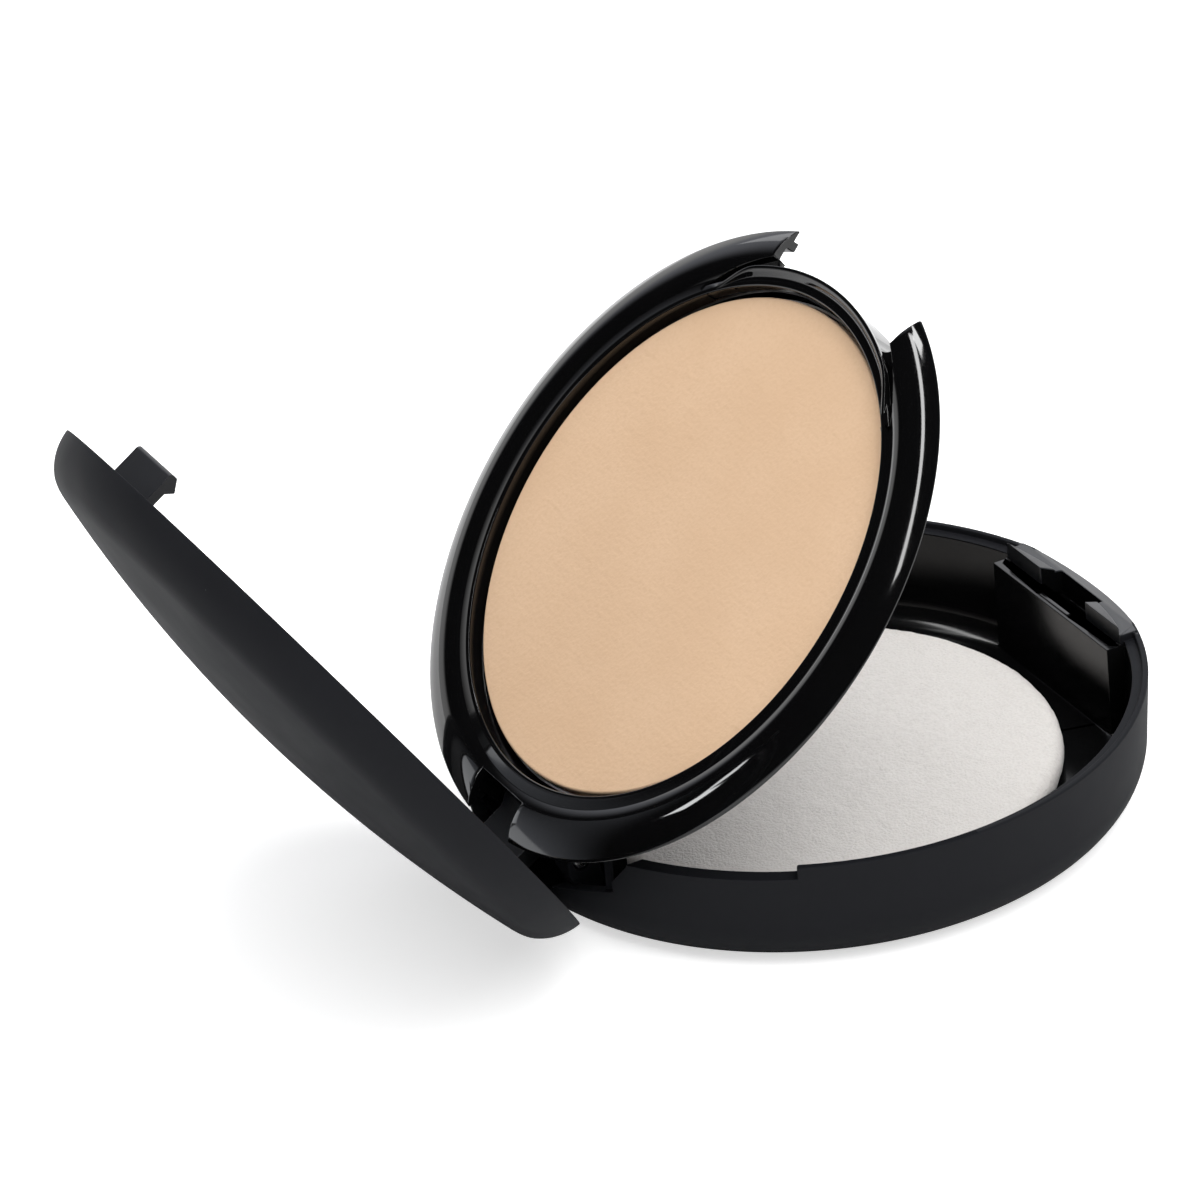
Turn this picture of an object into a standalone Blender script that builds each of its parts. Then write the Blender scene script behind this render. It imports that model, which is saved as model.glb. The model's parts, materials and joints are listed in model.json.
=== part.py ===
"""Powder compact, open as photographed.

A round base holds a soft puff in its well. A glossy tray with a pressed powder pan and a domed
lid with a mirror both turn on one steel pin at the rear. Each leaf is drawn closed, flat on the
base, and is then turned open about the pin. The front, with the catch, is -Y and up is +Z.
Sizes are in millimetres and become metres when a mesh is made.
"""

import math

import bmesh
import bpy
from mathutils import Matrix, Vector

MM = 0.001
SEGMENTS = 72
PIN_SEGMENTS = 20
WELD = 1.0e-6

# Running gaps, how far joined shapes sink in and cutters reach out, and the small edge breaks
GAP = 0.3
STACK_GAP = 0.12
SINK = 0.4
REACH = 3.0
EDGE = 0.18

# Base
BASE_RADIUS = 38.5
BASE_HEIGHT = 13.4
SIDE_DRAFT = 0.5
CORNER_RADIUS = 5.6
LIP_THICK = 0.7
LIP_HEIGHT = 0.7
SEAT_WIDTH = 1.2
FLOOR_THICK = 1.2
WELL_DRAFT = 0.3
WELL_FILLET = 3.0
REAR_RIM_DROP = 1.5
REAR_RIM_HALF_DEG = 60.0

# Catch at the front of the base
POCKET_HALF = 12.3
POCKET_INSET = 6.3
POCKET_WALL = 0.9
LEDGE_HALF = 12.2
LEDGE_INSET = 4.5
LEDGE_RISE = 1.15
LEDGE_FALL = 0.7
LEDGE_DEPTH = 2.6
NOTCH_MOUTH_HALF = 4.8
NOTCH_END_HALF = 4.3
NOTCH_LENGTH = 2.6
CATCH_RIB_HALF = 3.0
CATCH_RIB_TALL = 0.5

# Hinge at the rear
HINGE_INSET = 4.4
HINGE_DROP = 4.92
PIN_RADIUS = 0.8
PIN_CLEARANCE = 0.2
KNUCKLE_RADIUS = 2.0
LID_KNUCKLE_HALF = 4.2
TRAY_KNUCKLE_WIDTH = 3.7
EAR_WIDTH = 2.6
KNUCKLE_GAP = 0.45
TRAY_WEB_FRONT = 1.5
TRAY_WEB_REAR = 0.9
LID_WEB_HALF = 1.1
HINGE_BOX_HALF = 17.2
HINGE_BOX_WALL = 1.0
HINGE_BOX_REACH = 4.4
GUARD_REACH = 2.6
GUARD_DROP = 2.0
RECESS_TOP_HALF = 19.6
RECESS_LOW_HALF = 17.6
RECESS_FLOOR_HALF = 8.8
RECESS_SHOULDER_DROP = 1.8
RECESS_WAIST_DROP = 4.4
RECESS_SIDE_DROP = 5.7
RECESS_FLOOR_DROP = 8.2
RECESS_FLOOR_SHARE = 0.93
SCOOP_CLEARANCE = 0.45
SCOOP_FROM_DEG = -98.0
SCOOP_TO_DEG = 90.0
EAR_FOOT_INSET = 1.2
TRAY_OPEN_DEG = 45.4
LID_FROM_TRAY_DEG = 77.4

# Puff
PUFF_THICK = 3.6
PUFF_CROWN = 0.45
PUFF_EDGE = 1.7
PUFF_SQUARENESS = 0.85
PUFF_SIDE_GAP = 0.9

# Tray
FLANGE_GAP = 0.4
FLANGE_LIFT = 0.25
FLANGE_THICK = 0.3
RING_WIDTH = 7.2
RING_CREST = 1.2
BEZEL_RISE = 1.0
COLLAR_TOP = 0.55
CREASE_WIDTH = 1.6
CREASE_RISE = 0.35
CREST_INSET = 4.0
RIB_WIDTH = 1.0
RIB_DEPTH = 0.75
SHELL_RISE = 0.05
CUP_WALL = 1.15
PAD_WIDTH = 2.2
PAD_UNDER = 0.9
TRAY_FLOOR = 1.0
CUP_CHAMFER = 0.8
CUT_HALF_OUT = 13.8
CUT_HALF_IN = 12.45
GROOVE_FRONT_INSET = 2.7
CUT_FILLET = 3.0
CUT_FILLET_DEG = 11.0
GROOVE_RUNOUT_DEG = 40.0
GROOVE_FLOOR = 0.1
COLLAR_RISE = 0.65
COLLAR_LEAN = 1.7
COLLAR_RAMP = 0.35
REAR_NOTCH_HALF = 4.6
REAR_NOTCH_INSET = 4.8

# Powder pan
POWDER_DROP = 0.25
POWDER_THICK = 3.3
PAN_WALL = 0.35
PAN_EDGE = 0.4
PAN_RIM_DROP = 1.3
GLUE_THICK = 0.3
GLUE_INSET = 3.0

# Lid
LID_INSET = 0.6
LID_LIFT = 0.3
LID_RISE = 9.0
LID_SHELL = 1.2
FLANK_LEAN = 2.3
FLANK_HEIGHT = 4.4
FLANK_BULGE_LEAN = 0.4
FLANK_BULGE_HEIGHT = 2.8
INNER_FLANK_LEAN = 1.9
INNER_FLANK_HEIGHT = 3.3
SHOULDER_INSET = 4.9
SHOULDER_HEIGHT = 5.5
FRAME_FACE = 1.6
FRAME_RING_THICK = 1.2
FRAME_BACK = 0.75
FRAME_STEP = 1.0
MIRROR_SETBACK = 0.2
MIRROR_THICK = 1.1
MIRROR_INSET = 6.9
HOOK_HALF = 3.95
HOOK_TALL = 3.8
HOOK_NECK = 1.2
HOOK_NOSE = 0.9
HOOK_NOSE_RISE = 1.3
HOOK_NOSE_TALL = 0.8
HOOK_INSET = 2.9
HOOK_GUSSET = 0.8

# Derived levels, measured up from the underside of the base
RIM_Z = BASE_HEIGHT
SEAT_Z = RIM_Z - LIP_HEIGHT
HINGE_Y = BASE_RADIUS - HINGE_INSET
HINGE_Z = RIM_Z - HINGE_DROP
AXIS = Vector((0.0, HINGE_Y, HINGE_Z)) * MM
WELL_RADIUS = BASE_RADIUS - LIP_THICK - SEAT_WIDTH
POCKET_Y = -(BASE_RADIUS - POCKET_INSET)
LEDGE_Y = -(BASE_RADIUS - LEDGE_INSET)
HINGE_BOX_Y = HINGE_Y - HINGE_BOX_REACH
FLANGE_RADIUS = BASE_RADIUS - LIP_THICK - FLANGE_GAP
FLANGE_UNDER_Z = SEAT_Z + FLANGE_LIFT
BEZEL_RADIUS = FLANGE_RADIUS - RING_WIDTH
CUP_RADIUS = BEZEL_RADIUS + CUP_WALL
POWDER_Z = RIM_Z - POWDER_DROP
PAN_INNER_Z = POWDER_Z - POWDER_THICK - STACK_GAP
PAN_UNDER_Z = PAN_INNER_Z - PAN_WALL
TRAY_WELL_Z = PAN_UNDER_Z - GLUE_THICK - 2 * STACK_GAP
CUP_BOTTOM_Z = TRAY_WELL_Z - TRAY_FLOOR
LID_RADIUS = BASE_RADIUS - LID_INSET
LID_Z = RIM_Z + LID_LIFT
FRAME_Z = LID_Z + FRAME_FACE
MIRROR_Z = FRAME_Z + MIRROR_SETBACK
MIRROR_RADIUS = LID_RADIUS - MIRROR_INSET
MIRROR_BED_Z = MIRROR_Z + MIRROR_THICK + GLUE_THICK + 2 * STACK_GAP
HOOK_Y = -(BASE_RADIUS - HOOK_INSET)


def clear_scene() -> None:
    """Removes every object that is already in the scene."""
    for obj in list(bpy.data.objects):
        bpy.data.objects.remove(obj, do_unlink=True)


def finish(name: str, colour: tuple, roughness: float, metallic: float = 0.0, coat: float = 0.0):
    """Returns a Principled material of this colour and surface."""
    made = bpy.data.materials.new(name)
    made.use_nodes = True
    surface = made.node_tree.nodes["Principled BSDF"]
    surface.inputs["Base Color"].default_value = (*colour, 1.0)
    surface.inputs["Roughness"].default_value = roughness
    surface.inputs["Metallic"].default_value = metallic
    surface.inputs["Coat Weight"].default_value = coat
    made.diffuse_color = (*colour, 1.0)
    return made


def make_pivot(name: str, location: Vector, degrees: float, parent=None):
    """Returns an empty on the hinge axis, turned open by this angle."""
    pivot = bpy.data.objects.new(name, None)
    bpy.context.scene.collection.objects.link(pivot)
    pivot.location = location
    pivot.rotation_euler = (math.radians(-degrees), 0.0, 0.0)
    pivot.parent = parent
    return pivot


def place(name: str, shape: bmesh.types.BMesh, pivot=None):
    """Turns a drawn shape into an object, carried by the pivot when there is one."""
    bmesh.ops.remove_doubles(shape, verts=shape.verts, dist=WELD)
    bmesh.ops.recalc_face_normals(shape, faces=shape.faces)
    mesh = bpy.data.meshes.new(name)
    shape.to_mesh(mesh)
    shape.free()
    made = bpy.data.objects.new(name, mesh)
    bpy.context.scene.collection.objects.link(made)
    if pivot is not None:
        made.parent = pivot
        made.matrix_parent_inverse = Matrix.Translation(-AXIS)
    return made


def arc(centre: tuple, radius: float, start: float, end: float, steps: int) -> list:
    """Returns points on an arc, with the angles in degrees from the first axis."""
    points = []
    for step in range(steps + 1):
        angle = math.radians(start + (end - start) * step / steps)
        points.append((centre[0] + radius * math.cos(angle), centre[1] + radius * math.sin(angle)))
    return points


def blend(first: tuple, corner: tuple, last: tuple, steps: int) -> list:
    """Returns a smooth curve that leaves and meets two lines towards their shared corner."""
    points = []
    for step in range(steps + 1):
        t = step / steps
        weights = ((1 - t) ** 2, 2 * t * (1 - t), t * t)
        points.append(tuple(sum(w * p[i] for w, p in zip(weights, (first, corner, last))) for i in (0, 1)))
    return points


def turned(name: str, profile: list, pivot=None, segments: int = SEGMENTS):
    """Spins a profile of radius and height points once about the upright axis.

    A profile that starts off the axis is closed into a loop and gives a ring.
    """
    shape = bmesh.new()
    ring = [shape.verts.new((r * MM, 0.0, z * MM)) for r, z in profile]
    edges = [shape.edges.new(pair) for pair in zip(ring, ring[1:])]
    if profile[0][0] > 0.0:
        edges.append(shape.edges.new((ring[-1], ring[0])))
    bmesh.ops.spin(
        shape,
        geom=ring + edges,
        cent=(0.0, 0.0, 0.0),
        axis=(0.0, 0.0, 1.0),
        angle=2 * math.pi,
        steps=segments,
        use_duplicate=False,
    )
    return place(name, shape, pivot)


def prism(name: str, outline: list, low: float, high: float, along: str, pivot=None):
    """Extrudes an outline. Along Z it holds x and y, and along X it holds y and z."""
    shape = bmesh.new()
    if along == "Z":
        corners = [(a, b, low) for a, b in outline]
        rise = (0.0, 0.0, (high - low) * MM)
    else:
        corners = [(low, a, b) for a, b in outline]
        rise = ((high - low) * MM, 0.0, 0.0)
    face = shape.faces.new([shape.verts.new(Vector(corner) * MM) for corner in corners])
    grown = bmesh.ops.extrude_face_region(shape, geom=[face], use_keep_orig=True)
    moved = [item for item in grown["geom"] if isinstance(item, bmesh.types.BMVert)]
    bmesh.ops.translate(shape, verts=moved, vec=rise)
    return place(name, shape, pivot)


def combine(body, tool, operation: str) -> None:
    """Adds the tool to the body or takes it away, and hides the tool."""
    step = body.modifiers.new(tool.name, "BOOLEAN")
    step.operation = operation
    step.solver = "EXACT"
    step.object = tool
    tool.hide_render = True
    tool.display_type = "WIRE"


def cut(body, tool) -> None:
    """Takes the tool's volume out of the body."""
    combine(body, tool, "DIFFERENCE")


def fuse(body, tool) -> None:
    """Adds the tool's volume to the body."""
    combine(body, tool, "UNION")


def pin_bore(name: str, half: float, pivot=None):
    """Returns the cutter for the pin's hole, from one side to the other."""
    outline = arc((HINGE_Y, HINGE_Z), PIN_RADIUS + PIN_CLEARANCE, 0, 360, PIN_SEGMENTS)[:-1]
    return prism(name, outline, -half, half, "X", pivot)


def knuckle(name: str, low: float, high: float, front: float, rear: float, top_z: float, pivot=None):
    """Returns a hinge knuckle with an upright web that reaches the leaf above it."""
    round_end = arc((HINGE_Y, HINGE_Z), KNUCKLE_RADIUS, 180, 360, PIN_SEGMENTS // 2)
    outline = round_end + [(HINGE_Y + rear, HINGE_Z + 2 * KNUCKLE_RADIUS / 3)]
    outline += [(HINGE_Y + rear, top_z), (HINGE_Y - front, top_z)]
    outline += [(HINGE_Y - front, HINGE_Z + 2 * KNUCKLE_RADIUS / 3)]
    return prism(name, outline, low, high, "X", pivot)


def sector(middle_deg: float, half_deg: float, inner: float, outer: float) -> list:
    """Returns the outline of a ring sector about the base's axis."""
    low, high = middle_deg - half_deg, middle_deg + half_deg
    return arc((0, 0), inner, low, high, 24) + arc((0, 0), outer, high, low, 24)


def make_base():
    """Returns the base: bowl, lip, catch at the front and hinge box at the rear."""
    corner_r = BASE_RADIUS - SIDE_DRAFT - CORNER_RADIUS
    fillet_r = WELL_RADIUS - WELL_DRAFT - WELL_FILLET
    lip_r = BASE_RADIUS - LIP_THICK
    profile = [(0.0, 0.0)]
    profile += arc((corner_r, CORNER_RADIUS), CORNER_RADIUS, -90, 0, 7)
    profile += [(BASE_RADIUS, RIM_Z - EDGE), (BASE_RADIUS - EDGE, RIM_Z), (lip_r, RIM_Z)]
    profile += [(lip_r, SEAT_Z), (WELL_RADIUS, SEAT_Z)]
    profile += arc((fillet_r, FLOOR_THICK + WELL_FILLET), WELL_FILLET, 0, -90, 5)
    profile += [(0.0, FLOOR_THICK)]
    base = turned("base_shell", profile)

    rear = sector(90.0, REAR_RIM_HALF_DEG, WELL_RADIUS - GAP, BASE_RADIUS + REACH)
    cut(base, prism("rear_rim_cut", rear, RIM_Z - REAR_RIM_DROP, RIM_Z + REACH, "Z"))
    cut_recess(base)
    skin = BASE_RADIUS - SIDE_DRAFT - SINK
    outside = arc((corner_r, CORNER_RADIUS), CORNER_RADIUS - SINK, -90, 0, 7)
    far_r = BASE_RADIUS + REACH
    outside += [(skin, RIM_Z + REACH), (far_r, RIM_Z + REACH), (far_r, -REACH), (corner_r, -REACH)]
    trim = turned("outside_trim", outside)
    add_catch(base, trim)
    add_hinge_box(base, trim)
    return base


def cut_recess(base) -> None:
    """Opens the rear wall so that the tray and the lid can swing down behind it."""
    level_z = RECESS_FLOOR_SHARE * CORNER_RADIUS
    spare = max(0.0, RIM_Z - RECESS_FLOOR_DROP - level_z)
    floor_z = min(RIM_Z - RECESS_FLOOR_DROP, level_z - spare / 2)
    half = [
        (RECESS_TOP_HALF, RIM_Z + REACH),
        (RECESS_TOP_HALF, RIM_Z - RECESS_SHOULDER_DROP),
        (RECESS_LOW_HALF, RIM_Z - RECESS_WAIST_DROP),
        (RECESS_LOW_HALF, max(RIM_Z - RECESS_SIDE_DROP, floor_z + GAP)),
        (RECESS_FLOOR_HALF, floor_z),
    ]
    outline = half + [(-x, z) for x, z in reversed(half)]
    shape = bmesh.new()
    face = shape.faces.new([shape.verts.new(Vector((x, HINGE_BOX_Y, z)) * MM) for x, z in outline])
    grown = bmesh.ops.extrude_face_region(shape, geom=[face], use_keep_orig=True)
    moved = [item for item in grown["geom"] if isinstance(item, bmesh.types.BMVert)]
    bmesh.ops.translate(shape, verts=moved, vec=(0.0, (BASE_RADIUS + REACH - HINGE_BOX_Y) * MM, 0.0))
    cut(base, place("recess_cut", shape))

    sweep = math.hypot(LID_RADIUS - HINGE_Y, LID_Z - HINGE_Z) + SCOOP_CLEARANCE
    scoop = arc((HINGE_Y, HINGE_Z), sweep, SCOOP_FROM_DEG, SCOOP_TO_DEG, 22)
    half_width = LID_KNUCKLE_HALF + TRAY_KNUCKLE_WIDTH + 2 * KNUCKLE_GAP + SINK / 2
    cut(base, prism("scoop_cut", scoop, -half_width, half_width, "X"))


def add_catch(base, trim) -> None:
    """Adds the spring wall, the raised ledge and the notch that take the lid's hook."""
    leg_y = -math.sqrt(BASE_RADIUS**2 - POCKET_HALF**2)
    inner = POCKET_HALF - POCKET_WALL
    wall = [(-POCKET_HALF, leg_y), (-POCKET_HALF, POCKET_Y), (POCKET_HALF, POCKET_Y), (POCKET_HALF, leg_y)]
    back_y = POCKET_Y - POCKET_WALL
    wall += [(inner, leg_y), (inner, back_y), (-inner, back_y), (-inner, leg_y)]
    spring_wall = prism("spring_wall", wall, FLOOR_THICK / 2, SEAT_Z - STACK_GAP / 2, "Z")
    cut(spring_wall, trim)
    fuse(base, spring_wall)

    ledge_r = BASE_RADIUS - GAP
    slope = (LEDGE_RISE + LEDGE_FALL) / LEDGE_INSET
    half_deg = math.degrees(math.asin(LEDGE_HALF / ledge_r))
    outline = [(LEDGE_HALF, LEDGE_Y), (-LEDGE_HALF, LEDGE_Y)]
    outline += arc((0, 0), ledge_r, 270 - half_deg, 270 + half_deg, 14)
    low = RIM_Z - LEDGE_DEPTH
    fuse(base, prism("ledge", outline, low, RIM_Z + LEDGE_RISE + SINK, "Z"))

    dip_half = LEDGE_HALF + GAP
    over = []
    for y in (LEDGE_Y + SINK, -(BASE_RADIUS + REACH)):
        over.append((y, RIM_Z + LEDGE_RISE + slope * (y - LEDGE_Y)))
    over += [(over[1][0], RIM_Z + REACH), (over[0][0], RIM_Z + REACH)]
    cut(base, prism("thumb_dip", over, -dip_half, dip_half, "X"))
    lid_inner = LID_RADIUS - LID_SHELL - 2 * GAP
    shelf = sector(270.0, half_deg + 2.0, lid_inner, BASE_RADIUS + REACH)
    cut(base, prism("lid_rim_shelf", shelf, RIM_Z + LID_LIFT / 2, RIM_Z + REACH, "Z"))

    end_y = LEDGE_Y - NOTCH_LENGTH
    notch = [(-NOTCH_MOUTH_HALF, LEDGE_Y + SINK), (-NOTCH_MOUTH_HALF, LEDGE_Y), (-NOTCH_END_HALF, end_y)]
    notch += [(-x, y) for x, y in reversed(notch)]
    cut(base, prism("hook_notch", notch, low - SINK, RIM_Z + REACH, "Z"))

    nose_y = HOOK_Y + HOOK_NECK + HOOK_NOSE
    rib = [(-CATCH_RIB_HALF, nose_y + GAP), (CATCH_RIB_HALF, nose_y + GAP)]
    rib += [(CATCH_RIB_HALF, POCKET_Y - POCKET_WALL / 2), (-CATCH_RIB_HALF, POCKET_Y - POCKET_WALL / 2)]
    rib_z = SEAT_Z - GAP
    fuse(base, prism("catch_rib", rib, rib_z - CATCH_RIB_TALL, rib_z, "Z"))


def add_hinge_box(base, trim) -> None:
    """Adds the low wall round the hinge and the two ears that hold the pin."""
    inner = HINGE_BOX_HALF - HINGE_BOX_WALL
    leg_y = math.sqrt(BASE_RADIUS**2 - HINGE_BOX_HALF**2)
    low_y = HINGE_BOX_Y + HINGE_BOX_WALL
    box = [(HINGE_BOX_HALF, HINGE_BOX_Y), (HINGE_BOX_HALF, leg_y), (inner, leg_y), (inner, low_y)]
    box += [(-x, y) for x, y in reversed(box)]
    top_z = CUP_BOTTOM_Z - 2 * GAP
    hinge_box = prism("hinge_box", box, FLOOR_THICK / 2, top_z, "Z")
    cut(hinge_box, trim)
    fuse(base, hinge_box)
    for side, name in ((1, "guard_right"), (-1, "guard_left")):
        guard = [(side * inner, HINGE_Y - GUARD_REACH), (side * HINGE_BOX_HALF, HINGE_Y - GUARD_REACH)]
        guard += [(x, leg_y + SINK) for x, y in reversed(guard)]
        wall = prism(name, guard, FLOOR_THICK / 2 + GAP, RIM_Z - GUARD_DROP, "Z")
        cut(wall, trim)
        fuse(base, wall)

    ear_low = LID_KNUCKLE_HALF + TRAY_KNUCKLE_WIDTH + 2 * KNUCKLE_GAP
    ear = arc((HINGE_Y, HINGE_Z), KNUCKLE_RADIUS + STACK_GAP, -20, 200, 14)
    ear += [(HINGE_BOX_Y + HINGE_BOX_WALL / 2, FLOOR_THICK / 2), (HINGE_Y - EAR_FOOT_INSET, FLOOR_THICK / 2)]
    for side, name in ((1, "ear_right"), (-1, "ear_left")):
        ends = sorted((side * ear_low, side * (ear_low + EAR_WIDTH)))
        holder = prism(name, ear, ends[0], ends[1], "X")
        cut(holder, trim)
        fuse(base, holder)
    cut(base, pin_bore("ear_bore", ear_low + EAR_WIDTH + GAP))


def make_puff():
    """Returns the soft round puff that lies in the well, with a crown and drawn-in sides."""
    radius = HINGE_BOX_Y - PUFF_SIDE_GAP
    low = FLOOR_THICK + GAP
    middle = low + PUFF_THICK / 2
    edge = []
    for step in range(9):
        angle = math.radians(-90 + 180 * step / 8)
        squeeze = math.copysign(abs(math.sin(angle)) ** PUFF_SQUARENESS, math.sin(angle))
        edge.append((radius - PUFF_EDGE * (1 - math.cos(angle)), middle + squeeze * PUFF_THICK / 2))
    crown = []
    for part in (0.8, 0.55, 0.25, 0.0):
        crown.append((radius * part, low + PUFF_THICK + PUFF_CROWN * (1 - part**2)))
    return turned("puff", [(0.0, low)] + edge + crown)


def ring_height(radius: float) -> float:
    """Returns the height of the tray ring's convex top at this radius."""
    crest_r = FLANGE_RADIUS - CREST_INSET
    if radius < crest_r:
        inward = (crest_r - radius) / (crest_r - BEZEL_RADIUS - CREASE_WIDTH)
        return RIM_Z + RING_CREST - (RING_CREST - CREASE_RISE) * inward**2
    fall = RIM_Z + RING_CREST - (FLANGE_UNDER_Z + FLANGE_THICK)
    return RIM_Z + RING_CREST - fall * ((radius - crest_r) / CREST_INSET) ** 2


def make_tray(pivot):
    """Returns the tray: convex glossy ring, powder cup, thumb cut, and two hinge knuckles."""
    crest_r = FLANGE_RADIUS - CREST_INSET
    rib_out = WELL_RADIUS - FLANGE_GAP
    rib_in = rib_out - RIB_WIDTH
    crease_r = BEZEL_RADIUS + CREASE_WIDTH
    radii = [crease_r + (crest_r - crease_r) * step / 3 for step in range(4)]
    radii += [crest_r + (CREST_INSET - EDGE / 2) * step / 7 for step in range(1, 8)]
    bezel_z = RIM_Z + BEZEL_RISE
    profile = [(0.0, TRAY_WELL_Z), (BEZEL_RADIUS, TRAY_WELL_Z), (BEZEL_RADIUS, bezel_z - EDGE)]
    profile += [(BEZEL_RADIUS + EDGE, bezel_z), (BEZEL_RADIUS + COLLAR_TOP, bezel_z)]
    profile += [(radius, ring_height(radius)) for radius in radii]
    profile += [(FLANGE_RADIUS, FLANGE_UNDER_Z + FLANGE_THICK / 2), (FLANGE_RADIUS, FLANGE_UNDER_Z)]
    profile += [(rib_out, FLANGE_UNDER_Z), (rib_out, FLANGE_UNDER_Z - RIB_DEPTH)]
    profile += [(rib_in, FLANGE_UNDER_Z - RIB_DEPTH), (rib_in, RIM_Z + SHELL_RISE)]
    profile += [(CUP_RADIUS + PAD_WIDTH, RIM_Z + SHELL_RISE), (CUP_RADIUS + PAD_WIDTH, RIM_Z - PAD_UNDER)]
    profile += [(CUP_RADIUS, RIM_Z - PAD_UNDER), (CUP_RADIUS, CUP_BOTTOM_Z + CUP_CHAMFER)]
    profile += [(CUP_RADIUS - CUP_CHAMFER, CUP_BOTTOM_Z), (0.0, CUP_BOTTOM_Z)]
    tray = turned("tray_frame", profile, pivot)

    cut_thumb_opening(tray, pivot)
    notch_y = FLANGE_RADIUS - REAR_NOTCH_INSET
    far_y = BASE_RADIUS + REACH
    notch = [(REAR_NOTCH_HALF, notch_y), (REAR_NOTCH_HALF, far_y)]
    notch += [(-x, y) for x, y in reversed(notch)]
    cut(tray, prism("rear_notch", notch, RIM_Z - REACH, RIM_Z + REACH, "Z", pivot))

    start = LID_KNUCKLE_HALF + KNUCKLE_GAP
    for side, name in ((1, "tray_knuckle_right"), (-1, "tray_knuckle_left")):
        ends = sorted((side * start, side * (start + TRAY_KNUCKLE_WIDTH)))
        top_z = RIM_Z + SHELL_RISE + SINK
        fuse(tray, knuckle(name, ends[0], ends[1], TRAY_WEB_FRONT, TRAY_WEB_REAR, top_z, pivot))
    cut(tray, pin_bore("tray_bore", start + TRAY_KNUCKLE_WIDTH + GAP, pivot))
    return tray


def cut_thumb_opening(tray, pivot) -> None:
    """Cuts the opening for the catch out of the ring's front, and the groove that runs out of it."""
    collar_r = CUP_RADIUS
    far_y = -(BASE_RADIUS + REACH)
    half_deg = math.degrees(math.asin(CUT_HALF_IN / collar_r))
    corner = (CUT_HALF_IN, -math.sqrt(collar_r**2 - CUT_HALF_IN**2))
    share = CUT_FILLET / math.hypot(CUT_HALF_OUT - corner[0], far_y - corner[1])
    side = tuple(near + share * (far - near) for near, far in zip(corner, (CUT_HALF_OUT, far_y)))
    front_deg = half_deg - CUT_FILLET_DEG
    front_edge = arc((0, 0), collar_r, 270 - front_deg, 270 + front_deg, 6)
    fillet = blend(front_edge[-1], corner, side, 6)[1:] + [(CUT_HALF_OUT, far_y)]
    opening = [(-x, y) for x, y in reversed(fillet)] + front_edge + fillet
    cut(tray, prism("thumb_cut", opening, CUP_BOTTOM_Z - REACH, RIM_Z + REACH, "Z", pivot))

    runout = math.radians(GROOVE_RUNOUT_DEG)
    end = (collar_r * math.sin(runout), -collar_r * math.cos(runout))
    front = FLANGE_RADIUS - GROOVE_FRONT_INSET
    centre_y = (front**2 - collar_r**2) / (-2 * end[1] - 2 * front)
    radius = front + centre_y
    spread = math.degrees(math.atan2(end[0], centre_y - end[1]))
    groove = arc((0, 0), collar_r, 270 - GROOVE_RUNOUT_DEG, 270 + GROOVE_RUNOUT_DEG, 18)
    groove += arc((0, centre_y), radius, 270 + spread, 270 - spread, 18)[1:-1]
    cut(tray, prism("thumb_groove", groove, RIM_Z + GROOVE_FLOOR, RIM_Z + REACH, "Z", pivot))
    fuse(tray, thumb_collar(pivot))


def thumb_collar(pivot):
    """Returns the raised front of the cup's collar, which leans out so that a thumb can lift the tray."""
    shape = bmesh.new()
    rings = []
    steps = 16
    for step in range(steps + 1):
        part = 2 * step / steps - 1
        ramp = min(1.0, (1 - abs(part)) / COLLAR_RAMP)
        swell = ramp * ramp * (3 - 2 * ramp)
        low, high = RIM_Z - SINK, RIM_Z + BEZEL_RISE - EDGE / 2 + COLLAR_RISE * swell
        lean = COLLAR_LEAN * swell
        inner, outer = BEZEL_RADIUS - EDGE / 6, CUP_RADIUS - EDGE
        section = [(inner, low), (outer, low), (outer + lean, high - BEZEL_RISE / 2)]
        section += [(inner + COLLAR_TOP + lean, high), (inner + EDGE + lean, high), (inner + lean, high - EDGE)]
        angle = math.radians(270 + GROOVE_RUNOUT_DEG * part)
        turn = (math.cos(angle), math.sin(angle))
        rings.append([shape.verts.new(Vector((r * turn[0], r * turn[1], z)) * MM) for r, z in section])
    for ring, after in zip(rings, rings[1:]):
        for here in range(len(ring)):
            ahead = (here + 1) % len(ring)
            shape.faces.new((ring[here], ring[ahead], after[ahead], after[here]))
    shape.faces.new(rings[0])
    shape.faces.new(reversed(rings[-1]))
    return place("thumb_collar", shape, pivot)


def make_powder_pan(pivot):
    """Returns the thin metal pan, the powder pressed into it and the glue under it."""
    outer = BEZEL_RADIUS - GAP
    inner = outer - PAN_WALL
    rim_z = POWDER_Z - PAN_RIM_DROP
    pan = [(0.0, PAN_UNDER_Z), (outer - PAN_EDGE, PAN_UNDER_Z), (outer, PAN_UNDER_Z + PAN_EDGE)]
    pan += [(outer, rim_z), (inner, rim_z)]
    pan += [(inner, PAN_INNER_Z + PAN_EDGE), (inner - PAN_EDGE, PAN_INNER_Z), (0.0, PAN_INNER_Z)]
    cake_r = inner - STACK_GAP
    low = PAN_INNER_Z + STACK_GAP
    corner = PAN_EDGE + STACK_GAP
    cake = [(0.0, low), (cake_r - corner, low), (cake_r, low + corner), (cake_r, POWDER_Z - EDGE)]
    cake += [(cake_r - EDGE, POWDER_Z), (0.0, POWDER_Z)]
    glue_z = TRAY_WELL_Z + STACK_GAP
    glue_r = outer - GLUE_INSET
    glue = [(0.0, glue_z), (glue_r, glue_z), (glue_r, glue_z + GLUE_THICK), (0.0, glue_z + GLUE_THICK)]
    return (
        turned("powder_pan", pan, pivot),
        turned("pressed_powder", cake, pivot),
        turned("pan_glue", glue, pivot, segments=SEGMENTS // 2),
    )


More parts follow.
